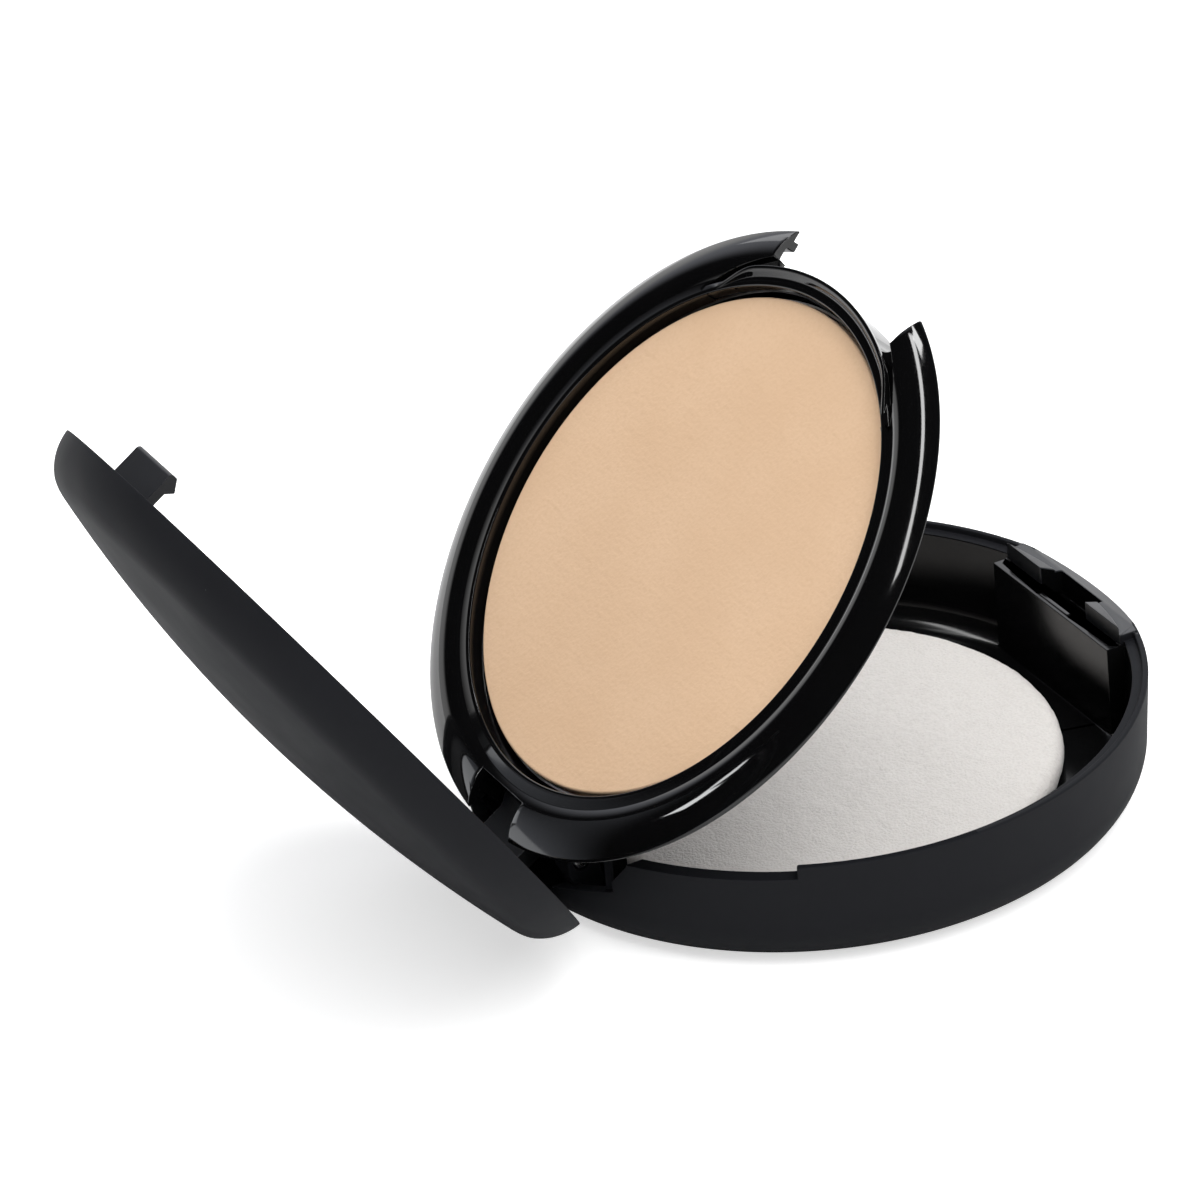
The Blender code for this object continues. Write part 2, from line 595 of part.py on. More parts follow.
def dome(radius: float) -> float:
    """Returns the lid's outer height above its rim at this radius, inside the shoulder."""
    shoulder_r = LID_RADIUS - SHOULDER_INSET
    return LID_RISE - (LID_RISE - SHOULDER_HEIGHT) * (radius / shoulder_r) ** 2


def shoulder(flank_foot: tuple, flank_top: tuple, dome_end: tuple, slope: float) -> list:
    """Returns the rounded shoulder from the flank's top to the dome's edge."""
    lean = (flank_top[0] - flank_foot[0]) / (flank_top[1] - flank_foot[1])
    height = dome_end[1] + slope * (flank_top[0] - lean * flank_top[1] - dome_end[0])
    corner_z = height / (1 - slope * lean)
    corner = (flank_top[0] + lean * (corner_z - flank_top[1]), corner_z)
    return blend(flank_top, corner, dome_end, 5)


def make_lid_shell(pivot):
    """Returns the domed outer shell of the lid, with its rim facing the tray."""
    shoulder_r = LID_RADIUS - SHOULDER_INSET
    slope = -2 * (LID_RISE - SHOULDER_HEIGHT) / shoulder_r
    parts = (0.85, 0.7, 0.55, 0.4, 0.2, 0.0)
    foot = (LID_RADIUS, EDGE)
    top = (LID_RADIUS - FLANK_LEAN, FLANK_HEIGHT)
    bulge = (LID_RADIUS - FLANK_BULGE_LEAN, FLANK_BULGE_HEIGHT)
    outer = [(LID_RADIUS - EDGE, 0.0)] + blend(foot, bulge, top, 4)[:-1]
    outer += shoulder(bulge, top, (shoulder_r, dome(shoulder_r)), slope)
    outer += [(shoulder_r * part, dome(shoulder_r * part)) for part in parts]
    in_foot = (LID_RADIUS - LID_SHELL, 0.0)
    in_top = (in_foot[0] - INNER_FLANK_LEAN, INNER_FLANK_HEIGHT)
    in_end_r = shoulder_r - LID_SHELL / 2
    in_end = (in_end_r, dome(in_end_r) - LID_SHELL)
    inner = [in_foot] + shoulder(in_foot, in_top, in_end, slope)
    inner += [(shoulder_r * part, dome(shoulder_r * part) - LID_SHELL) for part in parts]
    profile = [(r, LID_Z + z) for r, z in reversed(inner)] + [(r, LID_Z + z) for r, z in outer]
    return turned("lid_shell", profile, pivot)


def make_lid_frame(pivot):
    """Returns the inner frame that holds the mirror and carries the hook and the hinge arm."""
    bed_r = MIRROR_RADIUS + GAP
    lean = INNER_FLANK_LEAN / INNER_FLANK_HEIGHT
    face_r = LID_RADIUS - LID_SHELL - GAP - lean * FRAME_FACE
    ring_top = FRAME_FACE + FRAME_RING_THICK
    back_r = LID_RADIUS - LID_SHELL - GAP - lean * ring_top
    back_z = MIRROR_BED_Z + FRAME_BACK
    step_r = bed_r + FRAME_STEP
    profile = [(0.0, MIRROR_BED_Z), (bed_r, MIRROR_BED_Z), (bed_r, FRAME_Z + EDGE), (bed_r + EDGE, FRAME_Z)]
    profile += [(face_r, FRAME_Z), (back_r, LID_Z + ring_top), (step_r, LID_Z + ring_top)]
    profile += [(step_r, back_z), (0.0, back_z)]
    frame = turned("lid_frame", profile, pivot)

    tip_z = LID_Z - HOOK_TALL
    neck_y = HOOK_Y + HOOK_NECK
    nose_y = neck_y + HOOK_NOSE
    root_z = FRAME_Z + FRAME_RING_THICK / 3
    waist_z = LID_Z + FRAME_FACE / 2
    hook = [(HOOK_Y + HOOK_GUSSET, root_z), (HOOK_Y, waist_z), (HOOK_Y, tip_z), (neck_y - EDGE, tip_z)]
    nose_z = tip_z + HOOK_NOSE_RISE
    hook += [(nose_y, nose_z), (neck_y, nose_z + HOOK_NOSE_TALL)]
    hook += [(neck_y, waist_z), (neck_y + HOOK_GUSSET, root_z)]
    fuse(frame, prism("hook", hook, -HOOK_HALF, HOOK_HALF, "X", pivot))

    arm_top = FRAME_Z + FRAME_RING_THICK / 4
    half = LID_KNUCKLE_HALF
    fuse(frame, knuckle("arm", -half, half, LID_WEB_HALF, LID_WEB_HALF, arm_top, pivot))
    cut(frame, pin_bore("arm_bore", half + GAP, pivot))
    return frame


def make_mirror(pivot):
    """Returns the round mirror and the glue that holds it in the frame."""
    low, high = MIRROR_Z, MIRROR_Z + MIRROR_THICK
    glass = [(0.0, low), (MIRROR_RADIUS - EDGE, low), (MIRROR_RADIUS, low + EDGE)]
    glass += [(MIRROR_RADIUS, high), (0.0, high)]
    glue_z = high + STACK_GAP
    glue_r = MIRROR_RADIUS - GLUE_INSET
    glue = [(0.0, glue_z), (glue_r, glue_z), (glue_r, glue_z + GLUE_THICK), (0.0, glue_z + GLUE_THICK)]
    return (
        turned("mirror", glass, pivot),
        turned("mirror_glue", glue, pivot, segments=SEGMENTS // 2),
    )


def make_pin():
    """Returns the steel pin that the tray and the lid turn on."""
    half = LID_KNUCKLE_HALF + TRAY_KNUCKLE_WIDTH + 2 * KNUCKLE_GAP + EAR_WIDTH - STACK_GAP
    outline = arc((HINGE_Y, HINGE_Z), PIN_RADIUS, 0, 360, PIN_SEGMENTS)[:-1]
    return prism("hinge_pin", outline, -half, half, "X")


def main() -> None:
    """Builds every piece and gives each its own finish."""
    clear_scene()
    tray_pivot = make_pivot("tray_pivot", AXIS, TRAY_OPEN_DEG)
    lid_pivot = make_pivot("lid_pivot", Vector((0.0, 0.0, 0.0)), LID_FROM_TRAY_DEG, tray_pivot)
    bpy.context.view_layer.update()
    pan, powder, pan_glue = make_powder_pan(tray_pivot)
    mirror, mirror_glue = make_mirror(lid_pivot)
    pieces = (
        (make_base(), (0.022, 0.022, 0.023), 0.42, 0.0, 0.0),
        (make_puff(), (0.72, 0.70, 0.66), 0.95, 0.0, 0.0),
        (make_tray(tray_pivot), (0.012, 0.012, 0.013), 0.12, 0.0, 0.4),
        (pan, (0.82, 0.82, 0.80), 0.32, 1.0, 0.0),
        (powder, (0.73, 0.50, 0.31), 0.92, 0.0, 0.0),
        (pan_glue, (0.78, 0.74, 0.62), 0.6, 0.0, 0.0),
        (make_lid_shell(lid_pivot), (0.022, 0.022, 0.023), 0.5, 0.0, 0.0),
        (make_lid_frame(lid_pivot), (0.016, 0.016, 0.017), 0.3, 0.0, 0.0),
        (mirror, (0.92, 0.93, 0.94), 0.02, 1.0, 0.0),
        (mirror_glue, (0.80, 0.80, 0.78), 0.6, 0.0, 0.0),
        (make_pin(), (0.62, 0.62, 0.63), 0.28, 1.0, 0.0),
    )
    for piece, colour, roughness, metallic, coat in pieces:
        piece.data.materials.append(finish(piece.name, colour, roughness, metallic, coat))


main()
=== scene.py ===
"""Powder compact, standing open on its base.

The base holds a felt puff. A tray of pressed powder and a domed lid with a mirror turn on one
steel pin at the rear. Each leaf is modelled shut, flat on the base, with its sizes in
millimetres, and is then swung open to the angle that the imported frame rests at. The catch is
towards -Y, the hinge towards +Y, and up is +Z.
"""

import json
import logging
import math
from dataclasses import dataclass
from enum import Enum

import bmesh
import bpy
from mathutils import Matrix, Vector


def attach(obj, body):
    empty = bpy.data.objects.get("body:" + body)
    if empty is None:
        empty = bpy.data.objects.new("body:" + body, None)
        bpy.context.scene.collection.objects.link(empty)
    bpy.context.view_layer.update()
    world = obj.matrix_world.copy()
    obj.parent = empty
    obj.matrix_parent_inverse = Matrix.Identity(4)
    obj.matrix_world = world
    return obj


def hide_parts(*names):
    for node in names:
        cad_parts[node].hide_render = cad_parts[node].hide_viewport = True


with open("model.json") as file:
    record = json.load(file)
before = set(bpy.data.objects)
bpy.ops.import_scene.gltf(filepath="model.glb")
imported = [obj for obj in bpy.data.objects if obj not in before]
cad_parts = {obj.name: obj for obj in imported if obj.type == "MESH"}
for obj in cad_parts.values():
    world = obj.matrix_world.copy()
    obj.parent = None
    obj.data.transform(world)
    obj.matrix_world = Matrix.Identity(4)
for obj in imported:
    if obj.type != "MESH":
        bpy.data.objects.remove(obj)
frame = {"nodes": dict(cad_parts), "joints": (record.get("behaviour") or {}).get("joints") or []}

LOG = logging.getLogger("compact")
MM = 0.001
TURN_STEPS = 240
WELD = 1.0e-6
SLIVER = 1.2e-5
REACH = 3.0
ROUND_STEP_DEG = 15.0
LEG_SHARE = 0.49

Point = tuple[float, float]
Points = list[Point]
Colour = tuple[float, float, float]
Piece = bpy.types.Object
Socket = bpy.types.NodeSocket


class Join(Enum):
    """How a tool changes the piece that it meets."""

    CUT = "DIFFERENCE"
    FUSE = "UNION"


class Along(Enum):
    """The axis that an outline is extruded along, by its number."""

    ACROSS = 0
    BACK = 1
    UP = 2

    def point(self, first: float, second: float, at: float) -> Vector:
        """Gives a point of an outline that lies at a place on this axis.

        Args:
            first: Its place on the first of the two other axes.
            second: Its place on the second.
            at: Its place on this axis.

        Returns:
            The point.
        """
        values = [first, second]
        values.insert(self.value, at)
        return Vector(values)


class Body(Enum):
    """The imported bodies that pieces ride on."""

    BASE = "base"
    TRAY = "tray"
    LID = "lid"


@dataclass(frozen=True)
class Corner:
    """A corner of a section, with the radius that rounds it off."""

    across: float
    up: float
    radius: float = 0.0


def arc(centre: Point, radius: float, start: float, end: float, steps: int) -> Points:
    """Draws an arc.

    Args:
        centre: The arc's centre.
        radius: The arc's radius.
        start: The first angle, in degrees from the first axis.
        end: The last angle, in degrees.
        steps: How many chords the arc has.

    Returns:
        The arc's points, ends included.
    """
    angles = [math.radians(start + (end - start) * step / steps) for step in range(steps + 1)]
    return [(centre[0] + radius * math.cos(a), centre[1] + radius * math.sin(a)) for a in angles]


def blend(first: Point, corner: Point, last: Point, steps: int) -> Points:
    """Draws a curve that leaves and meets two lines towards their shared corner.

    Args:
        first: Where the curve starts.
        corner: Where the two lines would meet.
        last: Where the curve ends.
        steps: How many chords the curve has.

    Returns:
        The curve's points, ends included.
    """
    points = []
    for step in range(steps + 1):
        t = step / steps
        weights = ((1 - t) ** 2, 2 * t * (1 - t), t * t)
        pulls = list(zip(weights, (first, corner, last)))
        points.append(tuple(sum(w * p[i] for w, p in pulls) for i in (0, 1)))
    return points


def mirrored(half: Points) -> Points:
    """Closes half of an outline with its mirror image across the middle."""
    return half + [(-x, other) for x, other in reversed(half)]


def scaled(colour: Colour, factor: float) -> Colour:
    """Makes a colour lighter or darker."""
    return tuple(factor * value for value in colour)


def rounded(corners: list[Corner], closed: bool = False) -> Points:
    """Rounds the corners of a section.

    Args:
        corners: The section's corners in order.
        closed: Whether the last corner runs back to the first.

    Returns:
        The section's points, with each rounded corner as an arc.
    """
    points: Points = []
    count = len(corners)
    for index, corner in enumerate(corners):
        here = Vector((corner.across, corner.up))
        ends = not closed and index in (0, count - 1)
        if corner.radius == 0.0 or ends:
            points.append(tuple(here))
            continue
        before, after = (corners[(index + side) % count] for side in (-1, 1))
        back = Vector((before.across, before.up)) - here
        ahead = Vector((after.across, after.up)) - here
        half = back.angle(ahead) / 2
        legs = (LEG_SHARE * back.length, LEG_SHARE * ahead.length)
        reach = min(corner.radius / math.tan(half), *legs)
        start = here + back.normalized() * reach
        stop = here + ahead.normalized() * reach
        middle = (back.normalized() + ahead.normalized()).normalized()
        centre = here + middle * reach / math.cos(half)
        sweep = (start - centre).angle_signed(stop - centre)
        first = math.atan2(start.y - centre.y, start.x - centre.x)
        steps = max(2, math.ceil(abs(math.degrees(sweep)) / ROUND_STEP_DEG))
        radius = (start - centre).length
        turn = (math.degrees(first), math.degrees(first - sweep))
        points += arc(tuple(centre), radius, *turn, steps)
    return points


class Bench:
    """The bench that every piece is modelled on, one operator at a time."""

    @staticmethod
    def take(piece: Piece) -> None:
        """Selects one piece alone and makes it active.

        Args:
            piece: The piece.
        """
        bpy.ops.object.select_all(action="DESELECT")
        piece.select_set(True)
        bpy.context.view_layer.objects.active = piece

    @staticmethod
    def trace(name: str, points: list[Vector], closed: bool) -> Piece:
        """Draws a line by pulling one point along a path, and stays in edit mode.

        Args:
            name: The piece's name.
            points: The line's points, in millimetres.
            closed: Whether the line's ends are joined.

        Returns:
            The new piece, all of it selected.
        """
        bpy.ops.object.select_all(action="DESELECT")
        bpy.ops.mesh.primitive_plane_add(size=MM, enter_editmode=True)
        piece = bpy.context.object
        piece.name = name
        piece.data.name = name
        bpy.ops.mesh.select_all(action="SELECT")
        bpy.ops.mesh.merge(type="CENTER")
        bpy.ops.transform.translate(value=points[0] * MM)
        for here, there in zip(points, points[1:]):
            pull = {"value": (there - here) * MM}
            bpy.ops.mesh.extrude_vertices_move(TRANSFORM_OT_translate=pull)
        if closed:
            line = bmesh.from_edit_mesh(piece.data)
            line.verts.ensure_lookup_table()
            line.verts[0].select_set(True)
            bmesh.update_edit_mesh(piece.data)
            bpy.ops.mesh.edge_face_add()
        bpy.ops.mesh.select_all(action="SELECT")
        return piece

    @classmethod
    def turn(cls, name: str, section: Points, steps: int = TURN_STEPS) -> Piece:
        """Spins a section once round the upright axis.

        Args:
            name: The piece's name.
            section: Radius and height points. A section that starts off the axis is closed.
            steps: How many facets the turn has.

        Returns:
            The turned piece, facing outwards.
        """
        piece = cls.trace(name, [Vector((r, 0.0, z)) for r, z in section], section[0][0] > 0.0)
        bpy.ops.mesh.spin(steps=steps, angle=math.tau, center=(0.0, 0.0, 0.0), axis=(0.0, 0.0, 1.0))
        cls.close()
        return piece

    @classmethod
    def block(cls, name: str, outline: Points, low: float, high: float, along: Along) -> Piece:
        """Fills an outline and pulls it into a block.

        Args:
            name: The piece's name.
            outline: Points on the two other axes, in the order X, Y, Z.
            low: Where the block starts on its axis.
            high: Where it ends.
            along: The axis.

        Returns:
            The block, facing outwards.
        """
        piece = cls.trace(name, [along.point(a, b, low) for a, b in outline], True)
        bpy.ops.mesh.edge_face_add()
        pull = along.point(0.0, 0.0, high - low) * MM
        bpy.ops.mesh.extrude_region_move(TRANSFORM_OT_translate={"value": pull})
        cls.close()
        return piece

    @staticmethod
    def close() -> None:
        """Merges the seams of the piece in hand, turns its faces outwards and leaves edit mode.

        Spins and extrusions leave the faces in a chance order, so they are put in one order here,
        which lets every run give the same piece.
        """
        bpy.ops.mesh.select_all(action="SELECT")
        bpy.ops.mesh.remove_doubles(threshold=WELD)
        bpy.ops.mesh.normals_make_consistent(inside=False)
        bpy.ops.object.mode_set(mode="OBJECT")
        mesh = bpy.context.object.data
        points = [tuple(point.co) for point in mesh.vertices]
        faces = sorted(list(face.vertices) for face in mesh.polygons)
        mesh.clear_geometry()
        mesh.from_pydata(points, [], faces)

    @classmethod
    def apply(cls, piece: Piece, step: bpy.types.Modifier) -> None:
        """Applies one modifier to its piece."""
        cls.take(piece)
        bpy.ops.object.modifier_apply(modifier=step.name)

    @classmethod
    def combine(cls, piece: Piece, tool: Piece, how: Join) -> None:
        """Cuts a tool out of a piece or fuses it on, and uses the tool up.

        Args:
            piece: The piece that changes.
            tool: The shape that cuts or joins it.
            how: Which of the two.
        """
        step = piece.modifiers.new(tool.name, "BOOLEAN")
        step.operation = how.value
        step.solver = "EXACT"
        step.object = tool
        cls.apply(piece, step)
        bpy.data.objects.remove(tool, do_unlink=True)

    @classmethod
    def soften(cls, piece: Piece, width: float, limit_deg: float = 40.0) -> None:
        """Rounds the sharp edges that cuts have left.

        Args:
            piece: The piece.
            width: How wide the rounding is, in millimetres.
            limit_deg: The least fold that counts as a sharp edge.
        """
        cls.take(piece)
        bpy.ops.object.mode_set(mode="EDIT")
        bpy.ops.mesh.select_all(action="SELECT")
        bpy.ops.mesh.remove_doubles(threshold=SLIVER)
        bpy.ops.object.mode_set(mode="OBJECT")
        step = piece.modifiers.new("soft_edges", "BEVEL")
        step.width = width * MM
        step.segments = 2
        step.limit_method = "ANGLE"
        step.angle_limit = math.radians(limit_deg)
        step.use_clamp_overlap = False
        cls.apply(piece, step)

    @classmethod
    def smooth(cls, piece: Piece, limit_deg: float = 38.0) -> None:
        """Shades a piece smoothly, and keeps its flat faces flat.

        Args:
            piece: The piece.
            limit_deg: The fold past which an edge stays sharp.
        """
        cls.take(piece)
        bpy.ops.object.shade_smooth_by_angle(angle=math.radians(limit_deg))
        step = piece.modifiers.new("face_normals", "WEIGHTED_NORMAL")
        step.keep_sharp = True
        cls.apply(piece, step)


class NodeSheet:
    """A node tree, with short calls for the nodes that finishes and studio share."""

    def __init__(self, tree: bpy.types.NodeTree, space: str) -> None:
        """Takes up a node tree.

        Args:
            tree: The tree.
            space: The coordinates that its patterns lie on.
        """
        self.tree = tree
        self.places = self.add("ShaderNodeTexCoord").outputs[space]

    def add(self, kind: str) -> bpy.types.Node:
        """Adds a node of this kind."""
        return self.tree.nodes.new(kind)

    def link(self, start: Socket, end: Socket) -> None:
        """Joins an output to an input."""
        self.tree.links.new(start, end)

    def between(
        self,
        value: Socket,
        start: float,
        stop: float,
        low: float = 0.0,
        high: float = 1.0,
        smooth: bool = False,
    ) -> Socket:
        """Maps a value from one range to another, and holds it at the ends.

        Args:
            value: The value.
            start: Where the first range starts.
            stop: Where it ends.
            low: What its start maps to.
            high: What its end maps to.
            smooth: Whether it eases in and out.

        Returns:
            The mapped value.
        """
        made = self.add("ShaderNodeMapRange")
        if smooth:
            made.interpolation_type = "SMOOTHSTEP"
        ends = {"From Min": start, "From Max": stop, "To Min": low, "To Max": high}
        for name, number in ends.items():
            made.inputs[name].default_value = number
        self.link(value, made.inputs["Value"])
        return made.outputs["Result"]

    def mix(self, share: Socket, under: Socket | Colour, top: Colour) -> Socket:
        """Lays a colour over another.

        Args:
            share: How much of the top colour shows.
            under: What it lies on.
            top: The top colour.

        Returns:
            The mixed colour.
        """
        made = self.add("ShaderNodeMix")
        made.data_type = "RGBA"
        made.inputs["B"].default_value = (*top, 1.0)
        if isinstance(under, Socket):
            self.link(under, made.inputs["A"])
        else:
            made.inputs["A"].default_value = (*under, 1.0)
        self.link(share, made.inputs["Factor"])
        return made.outputs["Result"]

    def join(self, operation: str, first: Socket, second: Socket) -> Socket:
        """Works out one value from two.

        Args:
            operation: What is done with them, such as MULTIPLY.
            first: The first value.
            second: The second value.

        Returns:
            The resulting value.
        """
        made = self.add("ShaderNodeMath")
        made.operation = operation
        self.link(first, made.inputs[0])
        self.link(second, made.inputs[1])
        return made.outputs["Value"]


class Surface(NodeSheet):
    """A material's nodes, with calls for the patterns that its finish is made of."""

    speck_core = 0.6

    def __init__(self, name: str) -> None:
        """Starts a material with its surface shader.

        Args:
            name: The material's name.
        """
        self.material = bpy.data.materials.new(name)
        self.material.use_nodes = True
        super().__init__(self.material.node_tree, "Object")
        self.sockets = self.tree.nodes["Principled BSDF"].inputs

    def set(self, **values: float | Colour | Socket) -> None:
        """Sets or feeds the shader's sockets.

        Args:
            values: A number, a colour or an output for each socket, by the socket's name with
                underscores for its spaces.
        """
        for name, value in values.items():
            socket = self.sockets[name.replace("_", " ")]
            if isinstance(value, Socket):
                self.link(value, socket)
            else:
                socket.default_value = (*value, 1.0) if socket.type == "RGBA" else value

    def noise(self, size: float, detail: float, stretch: Colour = (1.0, 1.0, 1.0)) -> Socket:
        """Adds noise on the piece's own coordinates.

        Args:
            size: The size of its features, in millimetres.
            detail: How many finer layers it has.
            stretch: How far the pattern is drawn out on each axis.

        Returns:
            The noise's value.
        """
        place = self.add("ShaderNodeMapping")
        place.inputs["Scale"].default_value = [1.0 / value for value in stretch]
        self.link(self.places, place.inputs["Vector"])
        made = self.add("ShaderNodeTexNoise")
        made.inputs["Scale"].default_value = 1.0 / (size * MM)
        made.inputs["Detail"].default_value = detail
        self.link(place.outputs["Vector"], made.inputs["Vector"])
        return made.outputs["Fac"]

    def specks(self, spacing: float, radius: float) -> Socket:
        """Adds small round specks, strewn over the surface.

        Args:
            spacing: How far apart they are, in millimetres.
            radius: How large they are, in millimetres.

        Returns:
            One in a speck and none outside.
        """
        cells = self.add("ShaderNodeTexVoronoi")
        cells.inputs["Scale"].default_value = 1.0 / (spacing * MM)
        self.link(self.places, cells.inputs["Vector"])
        core = self.speck_core * radius / spacing
        return self.between(cells.outputs["Distance"], radius / spacing, core)

    def bump(self, *layers: tuple[Socket, float]) -> None:
        """Raises the surface by several layers.

        Args:
            layers: Each layer's height from none to one, and how tall it stands in millimetres.
        """
        last = None
        for height, tall in layers:
            made = self.add("ShaderNodeBump")
            made.inputs["Distance"].default_value = tall * MM
            self.link(height, made.inputs["Height"])
            if last is not None:
                self.link(last, made.inputs["Normal"])
            last = made.outputs["Normal"]
        self.link(last, self.sockets["Normal"])


@dataclass(frozen=True)
class SatinPlastic:
    """Soft satin black plastic with a fine moulded grain and a little dust.

    A pattern is its size in millimetres and its detail, and a grain also has its height.
    """

    name: str
    colour: Colour
    roughness: float
    gloss: float = 0.5
    ior: float = 1.46
    drift: tuple = (9.0, 3.0)
    drift_span: tuple = (0.3, 0.7)
    lighter: float = 1.35
    rough_change: tuple = (-0.04, 0.04)
    dust: tuple = (4.2, 0.06)
    dust_colour: Colour = (0.10, 0.10, 0.10)
    grains: tuple = ((0.22, 1.0, 0.004), (2.6, 1.0, 0.004))

    def make(self) -> bpy.types.Material:
        """Builds the material.

        Returns:
            The finished material.
        """
        sheet = Surface(self.name)
        sheet.set(IOR=self.ior, Specular_IOR_Level=self.gloss)
        drift = sheet.noise(*self.drift)
        tone = sheet.mix(drift, self.colour, scaled(self.colour, self.lighter))
        tone = sheet.mix(sheet.specks(*self.dust), tone, self.dust_colour)
        rough = [self.roughness + change for change in self.rough_change]
        sheet.set(Base_Color=tone, Roughness=sheet.between(drift, *self.drift_span, *rough))
        sheet.bump(*[(sheet.noise(size, detail), tall) for size, detail, tall in self.grains])
        return sheet.material


@dataclass(frozen=True)
class GlossPlastic(SatinPlastic):
    """Polished black plastic with faint flow waves, handling smears and dust."""

    ior: float = 1.5
    drift: tuple = (7.0, 4.0)
    drift_span: tuple = (0.45, 0.75)
    lighter: float = 1.2
    rough_change: tuple = (0.0, 0.06)
    dust: tuple = (5.0, 0.05)
    dust_colour: Colour = (0.16, 0.16, 0.16)
    grains: tuple = ((11.0, 0.0, 0.006),)


@dataclass(frozen=True)
class PressedPowder:
    """Beige powder pressed into a cake, with a fine grain, soft mottling and faint press marks.

    Each share is the span of its pattern that tints, then the least and the most tint.
    """

    name: str = "pressed_beige_powder"
    colour: Colour = (0.735, 0.512, 0.335)
    shade: Colour = (0.690, 0.468, 0.296)
    mark: Colour = (0.640, 0.420, 0.258)
    cloud: tuple = (14.0, 3.0)
    cloud_share: tuple = (0.35, 0.7, 0.0, 0.8)
    cloud_tall: float = 0.05
    grain: tuple = (0.5, 3.0)
    grain_share: tuple = (0.45, 0.8, 0.0, 0.8)
    grain_tall: float = 0.045
    drawn: tuple = (1.5, 2.0, (5.0, 1.0, 1.0))
    drawn_share: tuple = (0.68, 0.8, 0.0, 0.5)
    drawn_tall: float = 0.03

    def make(self) -> bpy.types.Material:
        """Builds the material.

        Returns:
            The finished material.
        """
        sheet = Surface(self.name)
        sheet.set(Roughness=0.95, Specular_IOR_Level=0.15, Sheen_Weight=0.08)
        cloud, grain, drawn = (sheet.noise(*made) for made in (self.cloud, self.grain, self.drawn))
        tone = sheet.mix(sheet.between(cloud, *self.cloud_share), self.colour, self.shade)
        tone = sheet.mix(sheet.between(grain, *self.grain_share), tone, self.shade)
        tone = sheet.mix(sheet.between(drawn, *self.drawn_share), tone, self.mark)
        sheet.set(Base_Color=tone)
        sheet.bump((grain, self.grain_tall), (drawn, self.drawn_tall), (cloud, self.cloud_tall))
        return sheet.material


@dataclass(frozen=True)
class Felt:
    """Off-white felted sponge with a short nap."""

    name: str = "off_white_felt"
    colour: Colour = (0.735, 0.705, 0.675)
    shade: Colour = (0.62, 0.59, 0.56)
    nap: tuple = (0.32, 4.0)
    nap_share: tuple = (0.42, 0.75, 0.0, 0.7)
    nap_tall: float = 0.16
    clump: tuple = (2.2, 3.0)
    clump_share: tuple = (0.5, 0.8, 0.0, 0.25)
    clump_tall: float = 0.10

    def make(self) -> bpy.types.Material:
        """Builds the material.

        Returns:
            The finished material.
        """
        sheet = Surface(self.name)
        sheet.set(Roughness=1.0, Specular_IOR_Level=0.1, Sheen_Weight=0.25, Sheen_Roughness=0.6)
        nap, clump = sheet.noise(*self.nap), sheet.noise(*self.clump)
        tone = sheet.mix(sheet.between(nap, *self.nap_share), self.colour, self.shade)
        sheet.set(Base_Color=sheet.mix(sheet.between(clump, *self.clump_share), tone, self.shade))
        sheet.bump((nap, self.nap_tall), (clump, self.clump_tall))
        return sheet.material


@dataclass(frozen=True)
class PlainFinish:
    """Bare metal, silvered glass or glue, with one pattern of fine marks, haze or cloud."""

    name: str
    colour: Colour
    darker: float
    pattern: tuple
    pattern_span: tuple
    rough_span: tuple
    tall: float = 0.0
    metallic: float = 1.0

    def make(self) -> bpy.types.Material:
        """Builds the material.

        Returns:
            The finished material.
        """
        sheet = Surface(self.name)
        pattern = sheet.noise(*self.pattern)
        tone = sheet.mix(pattern, self.colour, scaled(self.colour, self.darker))
        rough = sheet.between(pattern, *self.pattern_span, *self.rough_span)
        sheet.set(Metallic=self.metallic, Base_Color=tone, Roughness=rough)
        if self.tall > 0.0:
            sheet.bump((pattern, self.tall))
        return sheet.material


@dataclass(frozen=True)
class Hinge:
    """The pin's place and the angles that the leaves rest at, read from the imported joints."""

    y: float
    z: float
    tray_deg: float
    lid_deg: float

    @classmethod
    def from_joints(cls, joints: list[dict]) -> "Hinge":
        """Reads the hinge from the two joints on the pin.

        Args:
            joints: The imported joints.

        Returns:
            The hinge, in millimetres and in degrees from shut.
        """
        named = {joint["name"]: joint for joint in joints}
        place = named["tray_hinge"]["pos_m"]
        tray = -named["tray_hinge"]["range_deg"][0]
        lid = tray - named["lid_hinge"]["range_deg"][0]
        return cls(place[1] / MM, place[2] / MM, tray, lid)

    def swing(self, piece: Piece, degrees: float) -> None:
        """Swings a piece open about the pin and puts its place into its mesh.

        Args:
            piece: The piece, modelled shut.
            degrees: How far it opens.
        """
        pin = Vector((0.0, self.y, self.z)) * MM
        turn = Matrix.Rotation(math.radians(-degrees), 4, "X")
        piece.matrix_world = Matrix.Translation(pin) @ turn @ Matrix.Translation(-pin)
        Bench.take(piece)
        bpy.ops.object.transform_apply(location=True, rotation=True, scale=True)

    def bore(self, name: str, radius: float, half: float) -> Piece:
        """Makes a rod on the pin's axis.

        Args:
            name: The rod's name.
            radius: The rod's radius.
            half: Half of the rod's length.

        Returns:
            The rod.
        """
        outline = arc((self.y, self.z), radius, 0.0, 360.0, steps=48)[:-1]
        return Bench.block(name, outline, -half, half, Along.ACROSS)


